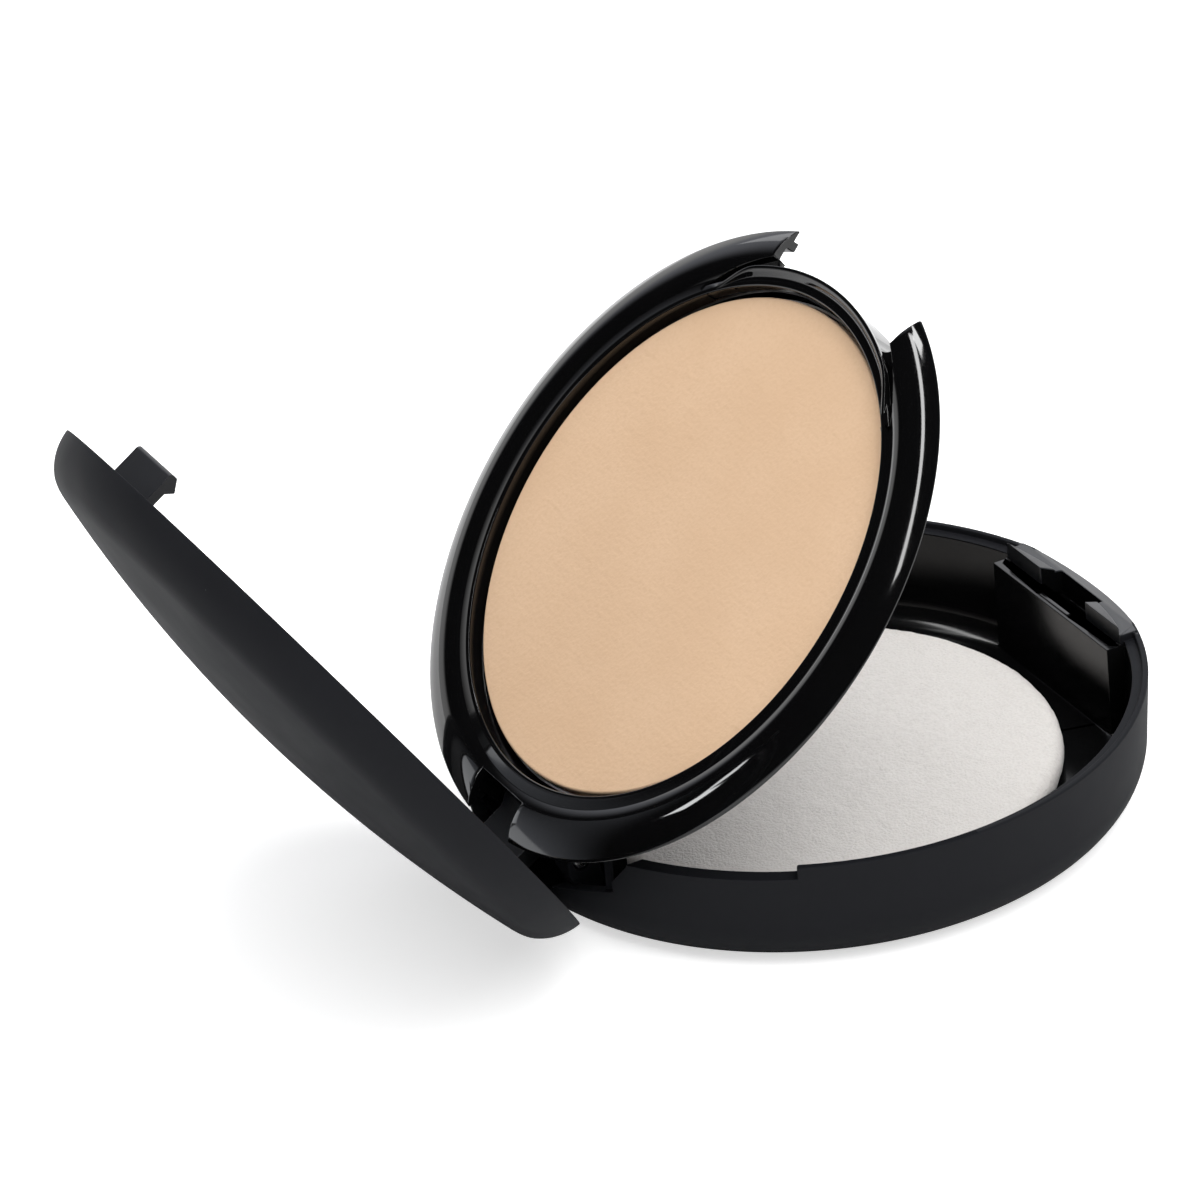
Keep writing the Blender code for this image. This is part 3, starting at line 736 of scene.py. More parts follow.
@dataclass(frozen=True)
class CaseSizes:
    """Sizes that more than one sub-assembly fits to, in millimetres."""

    base_radius: float = 38.5
    rim_z: float = 13.4
    lip_thick: float = 0.7
    lip_height: float = 0.7
    seat_width: float = 1.2
    floor_thick: float = 1.2
    pin_radius: float = 0.8
    bore_radius: float = 1.0
    knuckle_radius: float = 2.0
    lid_knuckle_half: float = 4.2
    tray_knuckle_width: float = 3.7
    ear_width: float = 2.6
    knuckle_gap: float = 0.45
    box_reach: float = 4.4
    gap: float = 0.3
    stack_gap: float = 0.12
    edge: float = 0.18
    sink: float = 0.4

    @property
    def seat_z(self) -> float:
        """The height of the seat inside the lip."""
        return self.rim_z - self.lip_height

    @property
    def well_radius(self) -> float:
        """The radius of the puff well."""
        return self.base_radius - self.lip_thick - self.seat_width

    @property
    def ear_start(self) -> float:
        """Where the pin's ears begin, either side of the middle."""
        return self.lid_knuckle_half + self.tray_knuckle_width + 2 * self.knuckle_gap


@dataclass
class Compact:
    """What every sub-assembly needs: the shared sizes, the hinge and the finishes."""

    case: CaseSizes
    hinge: Hinge
    finishes: dict[str, bpy.types.Material]

    def dress(self, piece: Piece, node: str, body: Body, slot: str) -> None:
        """Gives a piece its finish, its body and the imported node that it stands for.

        Args:
            piece: The finished piece.
            node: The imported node.
            body: The body it rides on.
            slot: The material slot, which also names its finish.
        """
        if not piece.data.materials:
            piece.data.materials.append(self.finishes[slot])
        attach(piece, body.value)
        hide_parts(node)
        LOG.info("%s rides on %s, %d faces", piece.name, body.value, len(piece.data.polygons))


def knuckle(name: str, hinge: Hinge, radius: float, ends: Point, web: Point, top_z: float) -> Piece:
    """Makes a hinge knuckle with an upright web that reaches the leaf above it.

    Args:
        name: The knuckle's name.
        hinge: The pin's place.
        radius: The knuckle's radius.
        ends: Where it starts and ends across.
        web: How far the web stands before and behind the pin.
        top_z: The web's top.

    Returns:
        The knuckle.
    """
    waist_z = hinge.z + 2 * radius / 3
    outline = arc((hinge.y, hinge.z), radius, 180.0, 360.0, steps=28)
    outline += [(hinge.y + web[1], waist_z), (hinge.y + web[1], top_z)]
    outline += [(hinge.y - web[0], top_z), (hinge.y - web[0], waist_z)]
    return Bench.block(name, outline, ends[0], ends[1], Along.ACROSS)


@dataclass
class Base:
    """The round base: a bowl with a lip, a catch at the front and a hinge box at the rear."""

    compact: Compact
    side_draft: float = 0.5
    corner_radius: float = 5.6
    well_draft: float = 0.3
    well_fillet: float = 3.0
    rear_rim_drop: float = 1.5
    rear_rim_half_deg: float = 59.7
    pocket_half: float = 12.3
    pocket_inset: float = 6.3
    pocket_wall: float = 0.9
    pocket_wall_drop: float = 0.35
    ledge_half: float = 12.2
    ledge_inset: float = 4.5
    ledge_rise: float = 1.15
    ledge_fall: float = 0.7
    ledge_depth: float = 2.6
    notch_mouth_half: float = 4.8
    notch_end_half: float = 4.3
    notch_length: float = 2.6
    catch_rib_half: float = 3.0
    catch_rib_tall: float = 0.5
    hook_nose_y: float = -33.5
    lid_rim_inner: float = 36.1
    lid_rim_lift: float = 0.3
    box_half: float = 17.2
    dull_from_y: float = 26.0
    box_wall: float = 1.0
    box_top_z: float = 7.24
    guard_reach: float = 2.6
    guard_drop: float = 2.0
    recess: tuple = ((19.6, 16.4), (19.6, 11.6), (17.6, 9.0), (17.6, 7.7), (8.8, 5.2))
    scoop_radius: float = 6.905
    scoop_from_deg: float = -98.0
    scoop_to_deg: float = 90.0
    ear_from_deg: float = -20.0
    ear_to_deg: float = 200.0
    ear_foot_inset: float = 1.2
    shelf_margin_deg: float = 2.0
    edge_round: float = 0.14
    paint_slack: float = 0.05
    paint_skin: float = 0.3
    paint_floor: float = 0.4
    level_normal: float = 0.7

    def build(self) -> Piece:
        """Builds and dresses the base shell.

        Returns:
            The finished piece.
        """
        shell = self.bowl()
        self.open_rear(shell)
        self.add_catch(shell)
        self.add_hinge_box(shell)
        Bench.soften(shell, self.edge_round)
        Bench.smooth(shell)
        self.paint(shell)
        self.compact.dress(shell, "base_shell", Body.BASE, "base_plastic")
        return shell

    def bowl(self) -> Piece:
        """Turns the bowl with its lip and seat.

        Returns:
            The bowl.
        """
        case = self.compact.case
        corner_r = case.base_radius - self.side_draft - self.corner_radius
        lip_r = case.base_radius - case.lip_thick
        section = [(0.0, 0.0)]
        section += arc((corner_r, self.corner_radius), self.corner_radius, -90.0, 0.0, steps=24)
        section += rounded(
            [
                Corner(case.base_radius - self.side_draft, self.corner_radius),
                Corner(case.base_radius, case.rim_z, 0.22),
                Corner(lip_r, case.rim_z, 0.16),
                Corner(lip_r, case.seat_z, 0.12),
                Corner(case.well_radius, case.seat_z, 0.2),
                Corner(case.well_radius - self.well_draft, case.floor_thick + self.well_fillet),
            ]
        )[1:-1]
        fillet_r = case.well_radius - self.well_draft - self.well_fillet
        fillet_z = case.floor_thick + self.well_fillet
        section += arc((fillet_r, fillet_z), self.well_fillet, 0.0, -90.0, steps=14)
        section += [(0.0, case.floor_thick)]
        return Bench.turn("compact_base", section)

    def sector(self, middle: float, half: float, inner: float, outer: float) -> Points:
        """Draws a ring sector about the base's axis.

        Args:
            middle: The angle of its middle, in degrees.
            half: Half of the angle that it spans.
            inner: Its inner radius.
            outer: Its outer radius.

        Returns:
            The sector's outline.
        """
        low, high = middle - half, middle + half
        there = arc((0.0, 0.0), inner, low, high, steps=60)
        return there + arc((0.0, 0.0), outer, high, low, steps=60)

    def open_rear(self, shell: Piece) -> None:
        """Lowers the rear rim and opens the wall so that the leaves can swing down behind it.

        Args:
            shell: The base shell.
        """
        case, hinge = self.compact.case, self.compact.hinge
        top_z, far = case.rim_z + REACH, case.base_radius + REACH
        rear = self.sector(90.0, self.rear_rim_half_deg, case.well_radius - case.gap, far)
        low_z = case.rim_z - self.rear_rim_drop
        Bench.combine(shell, Bench.block("rear_rim", rear, low_z, top_z, Along.UP), Join.CUT)

        box_y = hinge.y - case.box_reach
        outline = mirrored(list(self.recess))
        Bench.combine(shell, Bench.block("recess", outline, box_y, far, Along.BACK), Join.CUT)

        turn = (self.scoop_from_deg, self.scoop_to_deg)
        scoop = arc((hinge.y, hinge.z), self.scoop_radius, *turn, steps=40)
        half = case.ear_start + case.sink / 2
        Bench.combine(shell, Bench.block("scoop", scoop, -half, half, Along.ACROSS), Join.CUT)

    def trim(self) -> Piece:
        """Makes the ring outside the bowl, which trims what is added inside it.

        Returns:
            The ring.
        """
        case = self.compact.case
        corner_r = case.base_radius - self.side_draft - self.corner_radius
        skin = case.base_radius - self.side_draft - case.sink
        round_r = self.corner_radius - case.sink
        far_r, top_z = case.base_radius + REACH, case.rim_z + REACH
        section = arc((corner_r, self.corner_radius), round_r, -90.0, 0.0, steps=24)
        section += [(skin, top_z), (far_r, top_z), (far_r, -REACH), (corner_r, -REACH)]
        return Bench.turn("outside", section)

    def add_inside(self, shell: Piece, tool: Piece) -> None:
        """Fuses a wall or an ear to the bowl, trimmed to stay inside it."""
        Bench.combine(tool, self.trim(), Join.CUT)
        Bench.combine(shell, tool, Join.FUSE)

    def add_catch(self, shell: Piece) -> None:
        """Adds the spring wall, the raised ledge, the hook's notch and the rib it snaps past.

        Args:
            shell: The base shell.
        """
        case = self.compact.case
        pocket_y = self.pocket_inset - case.base_radius
        ledge_y = self.ledge_inset - case.base_radius
        leg_y = -math.sqrt(case.base_radius**2 - self.pocket_half**2)
        inner = self.pocket_half - self.pocket_wall
        wall = [(self.pocket_half, pocket_y), (self.pocket_half, leg_y)]
        wall += [(inner, leg_y), (inner, pocket_y - self.pocket_wall)]
        low_z, wall_z = case.floor_thick / 2, case.seat_z - self.pocket_wall_drop
        self.add_inside(shell, Bench.block("spring_wall", mirrored(wall), low_z, wall_z, Along.UP))

        top_z = case.rim_z + REACH
        ledge_r = case.base_radius - case.gap
        slope = (self.ledge_rise + self.ledge_fall) / self.ledge_inset
        half_deg = math.degrees(math.asin(self.ledge_half / ledge_r))
        outline = [(self.ledge_half, ledge_y), (-self.ledge_half, ledge_y)]
        outline += arc((0.0, 0.0), ledge_r, 270.0 - half_deg, 270.0 + half_deg, steps=40)
        low_z = case.rim_z - self.ledge_depth
        ledge_z = case.rim_z + self.ledge_rise
        ledge = Bench.block("ledge", outline, low_z, ledge_z + case.sink, Along.UP)
        Bench.combine(shell, ledge, Join.FUSE)

        dip_half = self.ledge_half + case.gap
        dip = []
        for y in (ledge_y + case.sink, -(case.base_radius + REACH)):
            dip.append((y, ledge_z + slope * (y - ledge_y)))
        dip += [(dip[1][0], top_z), (dip[0][0], top_z)]
        tool = Bench.block("thumb_dip", dip, -dip_half, dip_half, Along.ACROSS)
        Bench.combine(shell, tool, Join.CUT)
        shelf_deg = half_deg + self.shelf_margin_deg
        shelf = self.sector(270.0, shelf_deg, self.lid_rim_inner, case.base_radius + REACH)
        shelf_z = case.rim_z + self.lid_rim_lift / 2
        Bench.combine(shell, Bench.block("rim_shelf", shelf, shelf_z, top_z, Along.UP), Join.CUT)

        end_y = ledge_y - self.notch_length
        mouth = self.notch_mouth_half
        notch = [(-mouth, ledge_y + case.sink), (-mouth, ledge_y), (-self.notch_end_half, end_y)]
        tool = Bench.block("notch", mirrored(notch), low_z - case.sink, top_z, Along.UP)
        Bench.combine(shell, tool, Join.CUT)

        near_y = self.hook_nose_y + case.gap
        far_y = pocket_y - self.pocket_wall / 2
        rib = [(-self.catch_rib_half, near_y), (self.catch_rib_half, near_y)]
        rib += [(self.catch_rib_half, far_y), (-self.catch_rib_half, far_y)]
        rib_z = case.seat_z - case.gap
        tool = Bench.block("rib", rib, rib_z - self.catch_rib_tall, rib_z, Along.UP)
        Bench.combine(shell, tool, Join.FUSE)

    def add_hinge_box(self, shell: Piece) -> None:
        """Adds the low wall round the hinge and the two ears that hold the pin.

        Args:
            shell: The base shell.
        """
        case, hinge = self.compact.case, self.compact.hinge
        box_y = hinge.y - case.box_reach
        inner = self.box_half - self.box_wall
        leg_y = math.sqrt(case.base_radius**2 - self.box_half**2)
        foot_z = case.floor_thick / 2
        box = [(self.box_half, box_y), (self.box_half, leg_y)]
        box += [(inner, leg_y), (inner, box_y + self.box_wall)]
        tool = Bench.block("hinge_box", mirrored(box), foot_z, self.box_top_z, Along.UP)
        self.add_inside(shell, tool)
        near_y, far_y = hinge.y - self.guard_reach, leg_y + case.sink
        low_z, high_z = foot_z + case.gap, case.rim_z - self.guard_drop
        for side in (1, -1):
            guard = [(side * inner, near_y), (side * self.box_half, near_y)]
            guard += [(x, far_y) for x, _ in reversed(guard)]
            self.add_inside(shell, Bench.block("guard", guard, low_z, high_z, Along.UP))

        ear_r = case.knuckle_radius + case.stack_gap
        ear = arc((hinge.y, hinge.z), ear_r, self.ear_from_deg, self.ear_to_deg, steps=40)
        ear += [(box_y + self.box_wall / 2, foot_z), (hinge.y - self.ear_foot_inset, foot_z)]
        for side in (1, -1):
            ends = sorted((side * case.ear_start, side * (case.ear_start + case.ear_width)))
            self.add_inside(shell, Bench.block("ear", ear, ends[0], ends[1], Along.ACROSS))
        bore = hinge.bore("ear_bore", case.bore_radius, case.ear_start + case.ear_width + case.gap)
        Bench.combine(shell, bore, Join.CUT)

    def finish_at(self, place: Vector, normal: Vector) -> str:
        """Names the finish at a place on the shell.

        Args:
            place: The middle of a face.
            normal: Which way the face looks.

        Returns:
            The name of its finish.
        """
        case = self.compact.case
        x, y, z = place / MM
        radius = math.hypot(x, y)
        corner_r = case.base_radius - self.side_draft - self.corner_radius
        top_z = case.seat_z - self.paint_slack
        skin = self.corner_radius - self.paint_skin
        from_round = math.hypot(max(0.0, radius - corner_r), self.corner_radius - z)
        inside = radius < case.base_radius - case.lip_thick + self.paint_slack
        level = normal.z > self.level_normal
        ledge_y = self.ledge_inset + case.lip_thick - case.base_radius
        if z >= top_z and y < ledge_y and abs(x) < self.pocket_half:
            return "base_ledge"
        if from_round > skin > z or not (inside or level):
            return "base_plastic"
        rear_rim = y > 0.0 and level and z > top_z - self.rear_rim_drop
        hinge_room = y > self.dull_from_y and abs(x) < self.box_half
        if rear_rim or hinge_room:
            return "base_dull"
        return "base_inside" if inside and self.paint_floor < z < top_z else "base_plastic"

    def paint(self, shell: Piece) -> None:
        """Gives the outside a satin finish, the well a polish and the cut rear rim a dull face.

        Args:
            shell: The base shell.
        """
        names = ("base_plastic", "base_inside", "base_ledge", "base_dull")
        for name in names:
            shell.data.materials.append(self.compact.finishes[name])
        for face in shell.data.polygons:
            face.material_index = names.index(self.finish_at(face.center, face.normal))


@dataclass
class Puff:
    """The felt puff that lies in the base's well."""

    compact: Compact
    thick: float = 3.6
    crown: float = 0.45
    edge: float = 1.7
    squareness: float = 0.85
    side_gap: float = 0.9
    nap_side: float = 0.15
    nap_top: float = 0.1
    profile_steps: int = 24
    voxel: float = 0.34
    lumps: tuple = ((6.0, 0.20), (1.1, 0.14), (0.5, 0.10))

    def build(self) -> Piece:
        """Builds and dresses the puff.

        Returns:
            The finished piece.
        """
        case, hinge = self.compact.case, self.compact.hinge
        radius = hinge.y - case.box_reach - self.side_gap - self.nap_side
        low = case.floor_thick + case.gap
        tall, crown = self.thick - self.nap_top, self.crown - self.nap_top
        section = [(0.0, low)]
        for step in range(self.profile_steps + 1):
            angle = math.radians(-90.0 + 180.0 * step / self.profile_steps)
            rise = math.copysign(abs(math.sin(angle)) ** self.squareness, math.sin(angle))
            pulled_in = self.edge * (1 - math.cos(angle))
            section.append((radius - pulled_in, low + tall * (1 + rise) / 2))
        for step in range(1, self.profile_steps + 1):
            part = (radius - self.edge) / radius * (1 - step / self.profile_steps)
            section.append((radius * part, low + tall + crown * (1 - part**2)))
        puff = Bench.turn("felt_puff", section)
        step = puff.modifiers.new("even_mesh", "REMESH")
        step.mode = "VOXEL"
        step.voxel_size = self.voxel * MM
        Bench.apply(puff, step)
        for size, tall in self.lumps:
            self.ruffle(puff, size, tall)
        Bench.take(puff)
        bpy.ops.object.shade_smooth()
        self.compact.dress(puff, "puff", Body.BASE, "puff_felt")
        return puff

    def ruffle(self, puff: Piece, size: float, tall: float) -> None:
        """Moves the surface in and out by soft clouds.

        Args:
            puff: The puff.
            size: The size of the clouds, in millimetres.
            tall: How far apart their tops and bottoms are, in millimetres.
        """
        clouds = bpy.data.textures.new("felt_lumps", "CLOUDS")
        clouds.noise_scale = size * MM
        clouds.noise_depth = 2
        step = puff.modifiers.new("felt_lumps", "DISPLACE")
        step.texture = clouds
        step.texture_coords = "LOCAL"
        step.strength = tall * MM
        step.mid_level = 0.5
        Bench.apply(puff, step)


@dataclass
class HingePin:
    """The steel pin that both leaves turn on."""

    compact: Compact

    def build(self) -> Piece:
        """Builds and dresses the pin.

        Returns:
            The finished piece.
        """
        case, hinge = self.compact.case, self.compact.hinge
        half = case.ear_start + case.ear_width - case.stack_gap
        bpy.ops.object.select_all(action="DESELECT")
        bpy.ops.mesh.primitive_cylinder_add(
            vertices=64,
            radius=case.pin_radius * MM,
            depth=2 * half * MM,
            location=(0.0, hinge.y * MM, hinge.z * MM),
            rotation=(0.0, math.radians(90.0), 0.0),
        )
        pin = bpy.context.object
        pin.name = "steel_hinge_pin"
        bpy.ops.object.transform_apply(location=True, rotation=True, scale=True)
        Bench.soften(pin, case.edge)
        Bench.smooth(pin)
        self.compact.dress(pin, "hinge_pin", Body.BASE, "pin_steel")
        return pin


@dataclass
class Tray:
    """The polished tray: a convex ring round a cup, with a thumb cut and two hinge knuckles."""

    compact: Compact
    flange_radius: float = 37.4
    flange_under: float = -0.45
    flange_thick: float = 0.3
    flange_edge_share: float = 0.6
    ring_width: float = 7.2
    ring_crest: float = 1.2
    bezel_rise: float = 1.0
    collar_top: float = 0.55
    crease_width: float = 1.6
    crease_rise: float = 0.86
    crest_inset: float = 4.0
    rib_out: float = 36.2
    rib_width: float = 1.0
    rib_depth: float = 0.75
    shell_rise: float = 0.05
    cup_wall: float = 1.15
    pad_width: float = 2.2
    pad_under: float = 0.9
    well_drop: float = 4.56
    cup_floor: float = 1.0
    cup_chamfer: float = 0.8
    cut_half_out: float = 13.8
    cut_half_in: float = 12.45
    groove_front_inset: float = 2.7
    cut_fillet: float = 3.0
    cut_fillet_deg: float = 11.0
    groove_runout_deg: float = 40.0
    groove_floor: float = 0.1
    lift_deg: float = 39.0
    lift_rise: float = 0.65
    lift_lean: float = 1.7
    lift_ramp: float = 0.35
    lift_lap: float = 0.03
    lift_sink: float = 0.04
    notch_half: float = 4.6
    notch_inset: float = 4.8
    web: tuple = (1.5, 0.9)
    edge_round: float = 0.09

    @property
    def bezel_radius(self) -> float:
        """The radius of the cup that the pan lies in."""
        return self.flange_radius - self.ring_width

    @property
    def cup_radius(self) -> float:
        """The cup's outer radius."""
        return self.bezel_radius + self.cup_wall

    @property
    def well_z(self) -> float:
        """The height of the cup's floor."""
        return self.compact.case.rim_z - self.well_drop

    def ring_height(self, radius: float) -> float:
        """Gives the height of the ring's convex top.

        Args:
            radius: How far from the middle.

        Returns:
            The height above the base's underside.
        """
        rim_z, crest_r = self.compact.case.rim_z, self.flange_radius - self.crest_inset
        if radius < crest_r:
            inward = (crest_r - radius) / (crest_r - self.bezel_radius - self.crease_width)
            return rim_z + self.ring_crest - (self.ring_crest - self.crease_rise) * inward**2
        fall = self.ring_crest - self.flange_under - self.flange_thick
        return rim_z + self.ring_crest - fall * ((radius - crest_r) / self.crest_inset) ** 2

    def build(self) -> Piece:
        """Builds and dresses the tray.

        Returns:
            The finished piece.
        """
        case, hinge = self.compact.case, self.compact.hinge
        tray = Bench.turn("powder_tray", self.section())
        self.cut_thumb_opening(tray)
        rear_y = self.flange_radius - self.notch_inset
        far_y = case.base_radius + REACH
        notch = mirrored([(self.notch_half, rear_y), (self.notch_half, far_y)])
        tool = Bench.block("rear_notch", notch, case.rim_z - REACH, case.rim_z + REACH, Along.UP)
        Bench.combine(tray, tool, Join.CUT)
        start = case.lid_knuckle_half + case.knuckle_gap
        stop = start + case.tray_knuckle_width
        top_z = case.rim_z + self.shell_rise + case.sink
        for ends in ((start, stop), (-stop, -start)):
            tool = knuckle("tray_knuckle", hinge, case.knuckle_radius, ends, self.web, top_z)
            Bench.combine(tray, tool, Join.FUSE)
        Bench.combine(tray, hinge.bore("tray_bore", case.bore_radius, stop + case.gap), Join.CUT)
        Bench.soften(tray, self.edge_round)
        Bench.smooth(tray)
        hinge.swing(tray, hinge.tray_deg)
        self.compact.dress(tray, "tray_frame", Body.TRAY, "tray_plastic")
        return tray

    def section(self) -> Points:
        """Draws the tray's section, from the cup's floor over the ring and back under it.

        Returns:
            The section.
        """
        case = self.compact.case
        rim_z = case.rim_z
        crest_r = self.flange_radius - self.crest_inset
        crease_r = self.bezel_radius + self.crease_width
        under_z = rim_z + self.flange_under
        section = rounded(
            [
                Corner(0.0, self.well_z),
                Corner(self.bezel_radius, self.well_z),
                Corner(self.bezel_radius, rim_z + self.bezel_rise, 0.2),
                Corner(self.bezel_radius + self.collar_top, rim_z + self.bezel_rise, 0.3),
                Corner(crease_r, rim_z + self.crease_rise),
            ]
        )
        radii = []
        for start, width, steps in (
            (crease_r, crest_r - crease_r, 14),
            (crest_r, self.crest_inset - case.edge / 2, 22),
        ):
            radii += [start + width * step / steps for step in range(1, steps + 1)]
        section += [(radius, self.ring_height(radius)) for radius in radii]
        edge_z = under_z + self.flange_edge_share * self.flange_thick
        rib_in = self.rib_out - self.rib_width
        pad_r = self.cup_radius + self.pad_width
        bottom_z = self.well_z - self.cup_floor
        section += rounded(
            [
                Corner(radii[-1], self.ring_height(radii[-1])),
                Corner(self.flange_radius, edge_z, 0.06),
                Corner(self.flange_radius, under_z, 0.06),
                Corner(self.rib_out, under_z),
                Corner(self.rib_out, under_z - self.rib_depth, 0.1),
                Corner(rib_in, under_z - self.rib_depth, 0.1),
                Corner(rib_in, rim_z + self.shell_rise, 0.2),
                Corner(pad_r, rim_z + self.shell_rise, 0.2),
                Corner(pad_r, rim_z - self.pad_under, 0.1),
                Corner(self.cup_radius, rim_z - self.pad_under, 0.2),
                Corner(self.cup_radius, bottom_z, self.cup_chamfer),
                Corner(0.0, bottom_z),
            ]
        )[1:]
        return section

    def cut_thumb_opening(self, tray: Piece) -> None:
        """Cuts the catch's opening out of the ring's front, and the groove that runs out of it.

        Args:
            tray: The turned tray.
        """
        case = self.compact.case
        collar_r, top_z = self.cup_radius, case.rim_z + REACH
        far_y = -(case.base_radius + REACH)
        half_deg = math.degrees(math.asin(self.cut_half_in / collar_r))
        corner = (self.cut_half_in, -math.sqrt(collar_r**2 - self.cut_half_in**2))
        outer = (self.cut_half_out, far_y)
        share = self.cut_fillet / math.dist(outer, corner)
        side = tuple(near + share * (far - near) for near, far in zip(corner, outer))
        front_deg = half_deg - self.cut_fillet_deg
        front_edge = arc((0.0, 0.0), collar_r, 270.0 - front_deg, 270.0 + front_deg, steps=20)
        fillet = blend(front_edge[-1], corner, side, steps=16)[1:] + [outer]
        opening = [(-x, y) for x, y in reversed(fillet)] + front_edge + fillet
        tool = Bench.block("thumb_cut", opening, self.well_z - 2 * REACH, top_z, Along.UP)
        Bench.combine(tray, tool, Join.CUT)

        runout = math.radians(self.groove_runout_deg)
        end_x, end_y = collar_r * math.sin(runout), -collar_r * math.cos(runout)
        front = self.flange_radius - self.groove_front_inset
        centre_y = (front**2 - collar_r**2) / (-2 * end_y - 2 * front)
        spread = math.degrees(math.atan2(end_x, centre_y - end_y))
        turn = self.groove_runout_deg
        groove = arc((0.0, 0.0), collar_r, 270.0 - turn, 270.0 + turn, steps=50)
        back = arc((0.0, centre_y), front + centre_y, 270.0 + spread, 270.0 - spread, steps=50)
        groove += back[1:-1]
        tool = Bench.block("groove", groove, case.rim_z + self.groove_floor, top_z, Along.UP)
        Bench.combine(tray, tool, Join.CUT)
        Bench.combine(tray, self.lifted_collar(), Join.FUSE)

    def lifted_collar(self) -> Piece:
        """Makes the collar's raised front, which leans out so that a thumb can lift the tray.

        Returns:
            The raised front.
        """
        case = self.compact.case
        inner, outer = self.bezel_radius - self.lift_lap, self.cup_radius - case.edge
        low_z, high_z = case.rim_z - case.sink, case.rim_z + self.bezel_rise - self.lift_sink
        levels = [low_z + (high_z - low_z) * step / 6 for step in range(6)]
        section = [(outer, z) for z in levels[:4]]
        section += rounded(
            [
                Corner(*section[-1]),
                Corner(outer, high_z - self.bezel_rise / 2, 0.2),
                Corner(inner + self.collar_top, high_z, 0.3),
                Corner(inner, high_z, 0.2),
                Corner(inner, levels[4]),
            ]
        )[1:]
        section += [(inner, z) for z in reversed(levels[:4])]
        turn = math.radians(270.0 - self.lift_deg)
        line = [Vector((r * math.cos(turn), r * math.sin(turn), z)) for r, z in section]
        collar = Bench.trace("lifted_collar", line, True)
        steps = round(2 * self.lift_deg / 360.0 * TURN_STEPS)
        sweep = math.radians(2 * self.lift_deg)
        bpy.ops.mesh.spin(steps=steps, angle=-sweep, center=(0.0, 0.0, 0.0), axis=(0.0, 0.0, 1.0))
        bpy.ops.mesh.select_all(action="SELECT")
        bpy.ops.mesh.remove_doubles(threshold=WELD)
        bpy.ops.mesh.fill_holes(sides=0)
        shape = bmesh.from_edit_mesh(collar.data)
        for point in shape.verts:
            aside = math.degrees(math.atan2(point.co.x, -point.co.y)) / self.lift_deg
            ramp = min(1.0, max(0.0, 1.0 - abs(aside)) / self.lift_ramp)
            up = max(0.0, (point.co.z / MM - low_z) / (high_z - low_z))
            swell = ramp * ramp * (3.0 - 2.0 * ramp) * up
            out = Vector((point.co.x, point.co.y, 0.0)).normalized()
            point.co += (out * self.lift_lean + Vector((0.0, 0.0, self.lift_rise))) * swell * MM
        bmesh.update_edit_mesh(collar.data)
        Bench.close()
        return collar


@dataclass
class PowderPan:
    """The thin metal pan and the powder pressed into it."""

    compact: Compact
    tray: Tray
    powder_drop: float = 0.25
    powder_thick: float = 3.3
    wall: float = 0.35
    corner: float = 0.4
    rim_drop: float = 1.3
    powder_edge: float = 0.3

    def build(self) -> None:
        """Builds and dresses the pan and the powder."""
        case = self.compact.case
        outer = self.tray.bezel_radius - case.gap
        inner = outer - self.wall
        top_z = case.rim_z - self.powder_drop
        inside_z = top_z - self.powder_thick - case.stack_gap
        under_z = inside_z - self.wall
        rim_z = top_z - self.rim_drop
        pan = Bench.turn(
            "metal_pan",
            rounded(
                [
                    Corner(0.0, under_z),
                    Corner(outer, under_z, self.corner + self.wall / 2),
                    Corner(outer, rim_z, 0.12),
                    Corner(inner, rim_z, 0.12),
                    Corner(inner, inside_z, self.corner),
                    Corner(0.0, inside_z),
                ]
            ),
        )
        cake_r = inner - case.stack_gap
        low_z = inside_z + case.stack_gap
        cake = [Corner(0.0, low_z), Corner(cake_r, low_z, self.corner + case.stack_gap)]
        cake += [Corner(cake_r, top_z, self.powder_edge), Corner(0.0, top_z)]
        powder = Bench.turn("powder_cake", rounded(cake))
        pieces = ((pan, "powder_pan", "pan_metal"), (powder, "pressed_powder", "powder"))
        for piece, node, slot in pieces:
            Bench.smooth(piece)
            self.compact.hinge.swing(piece, self.compact.hinge.tray_deg)
            self.compact.dress(piece, node, Body.TRAY, slot)


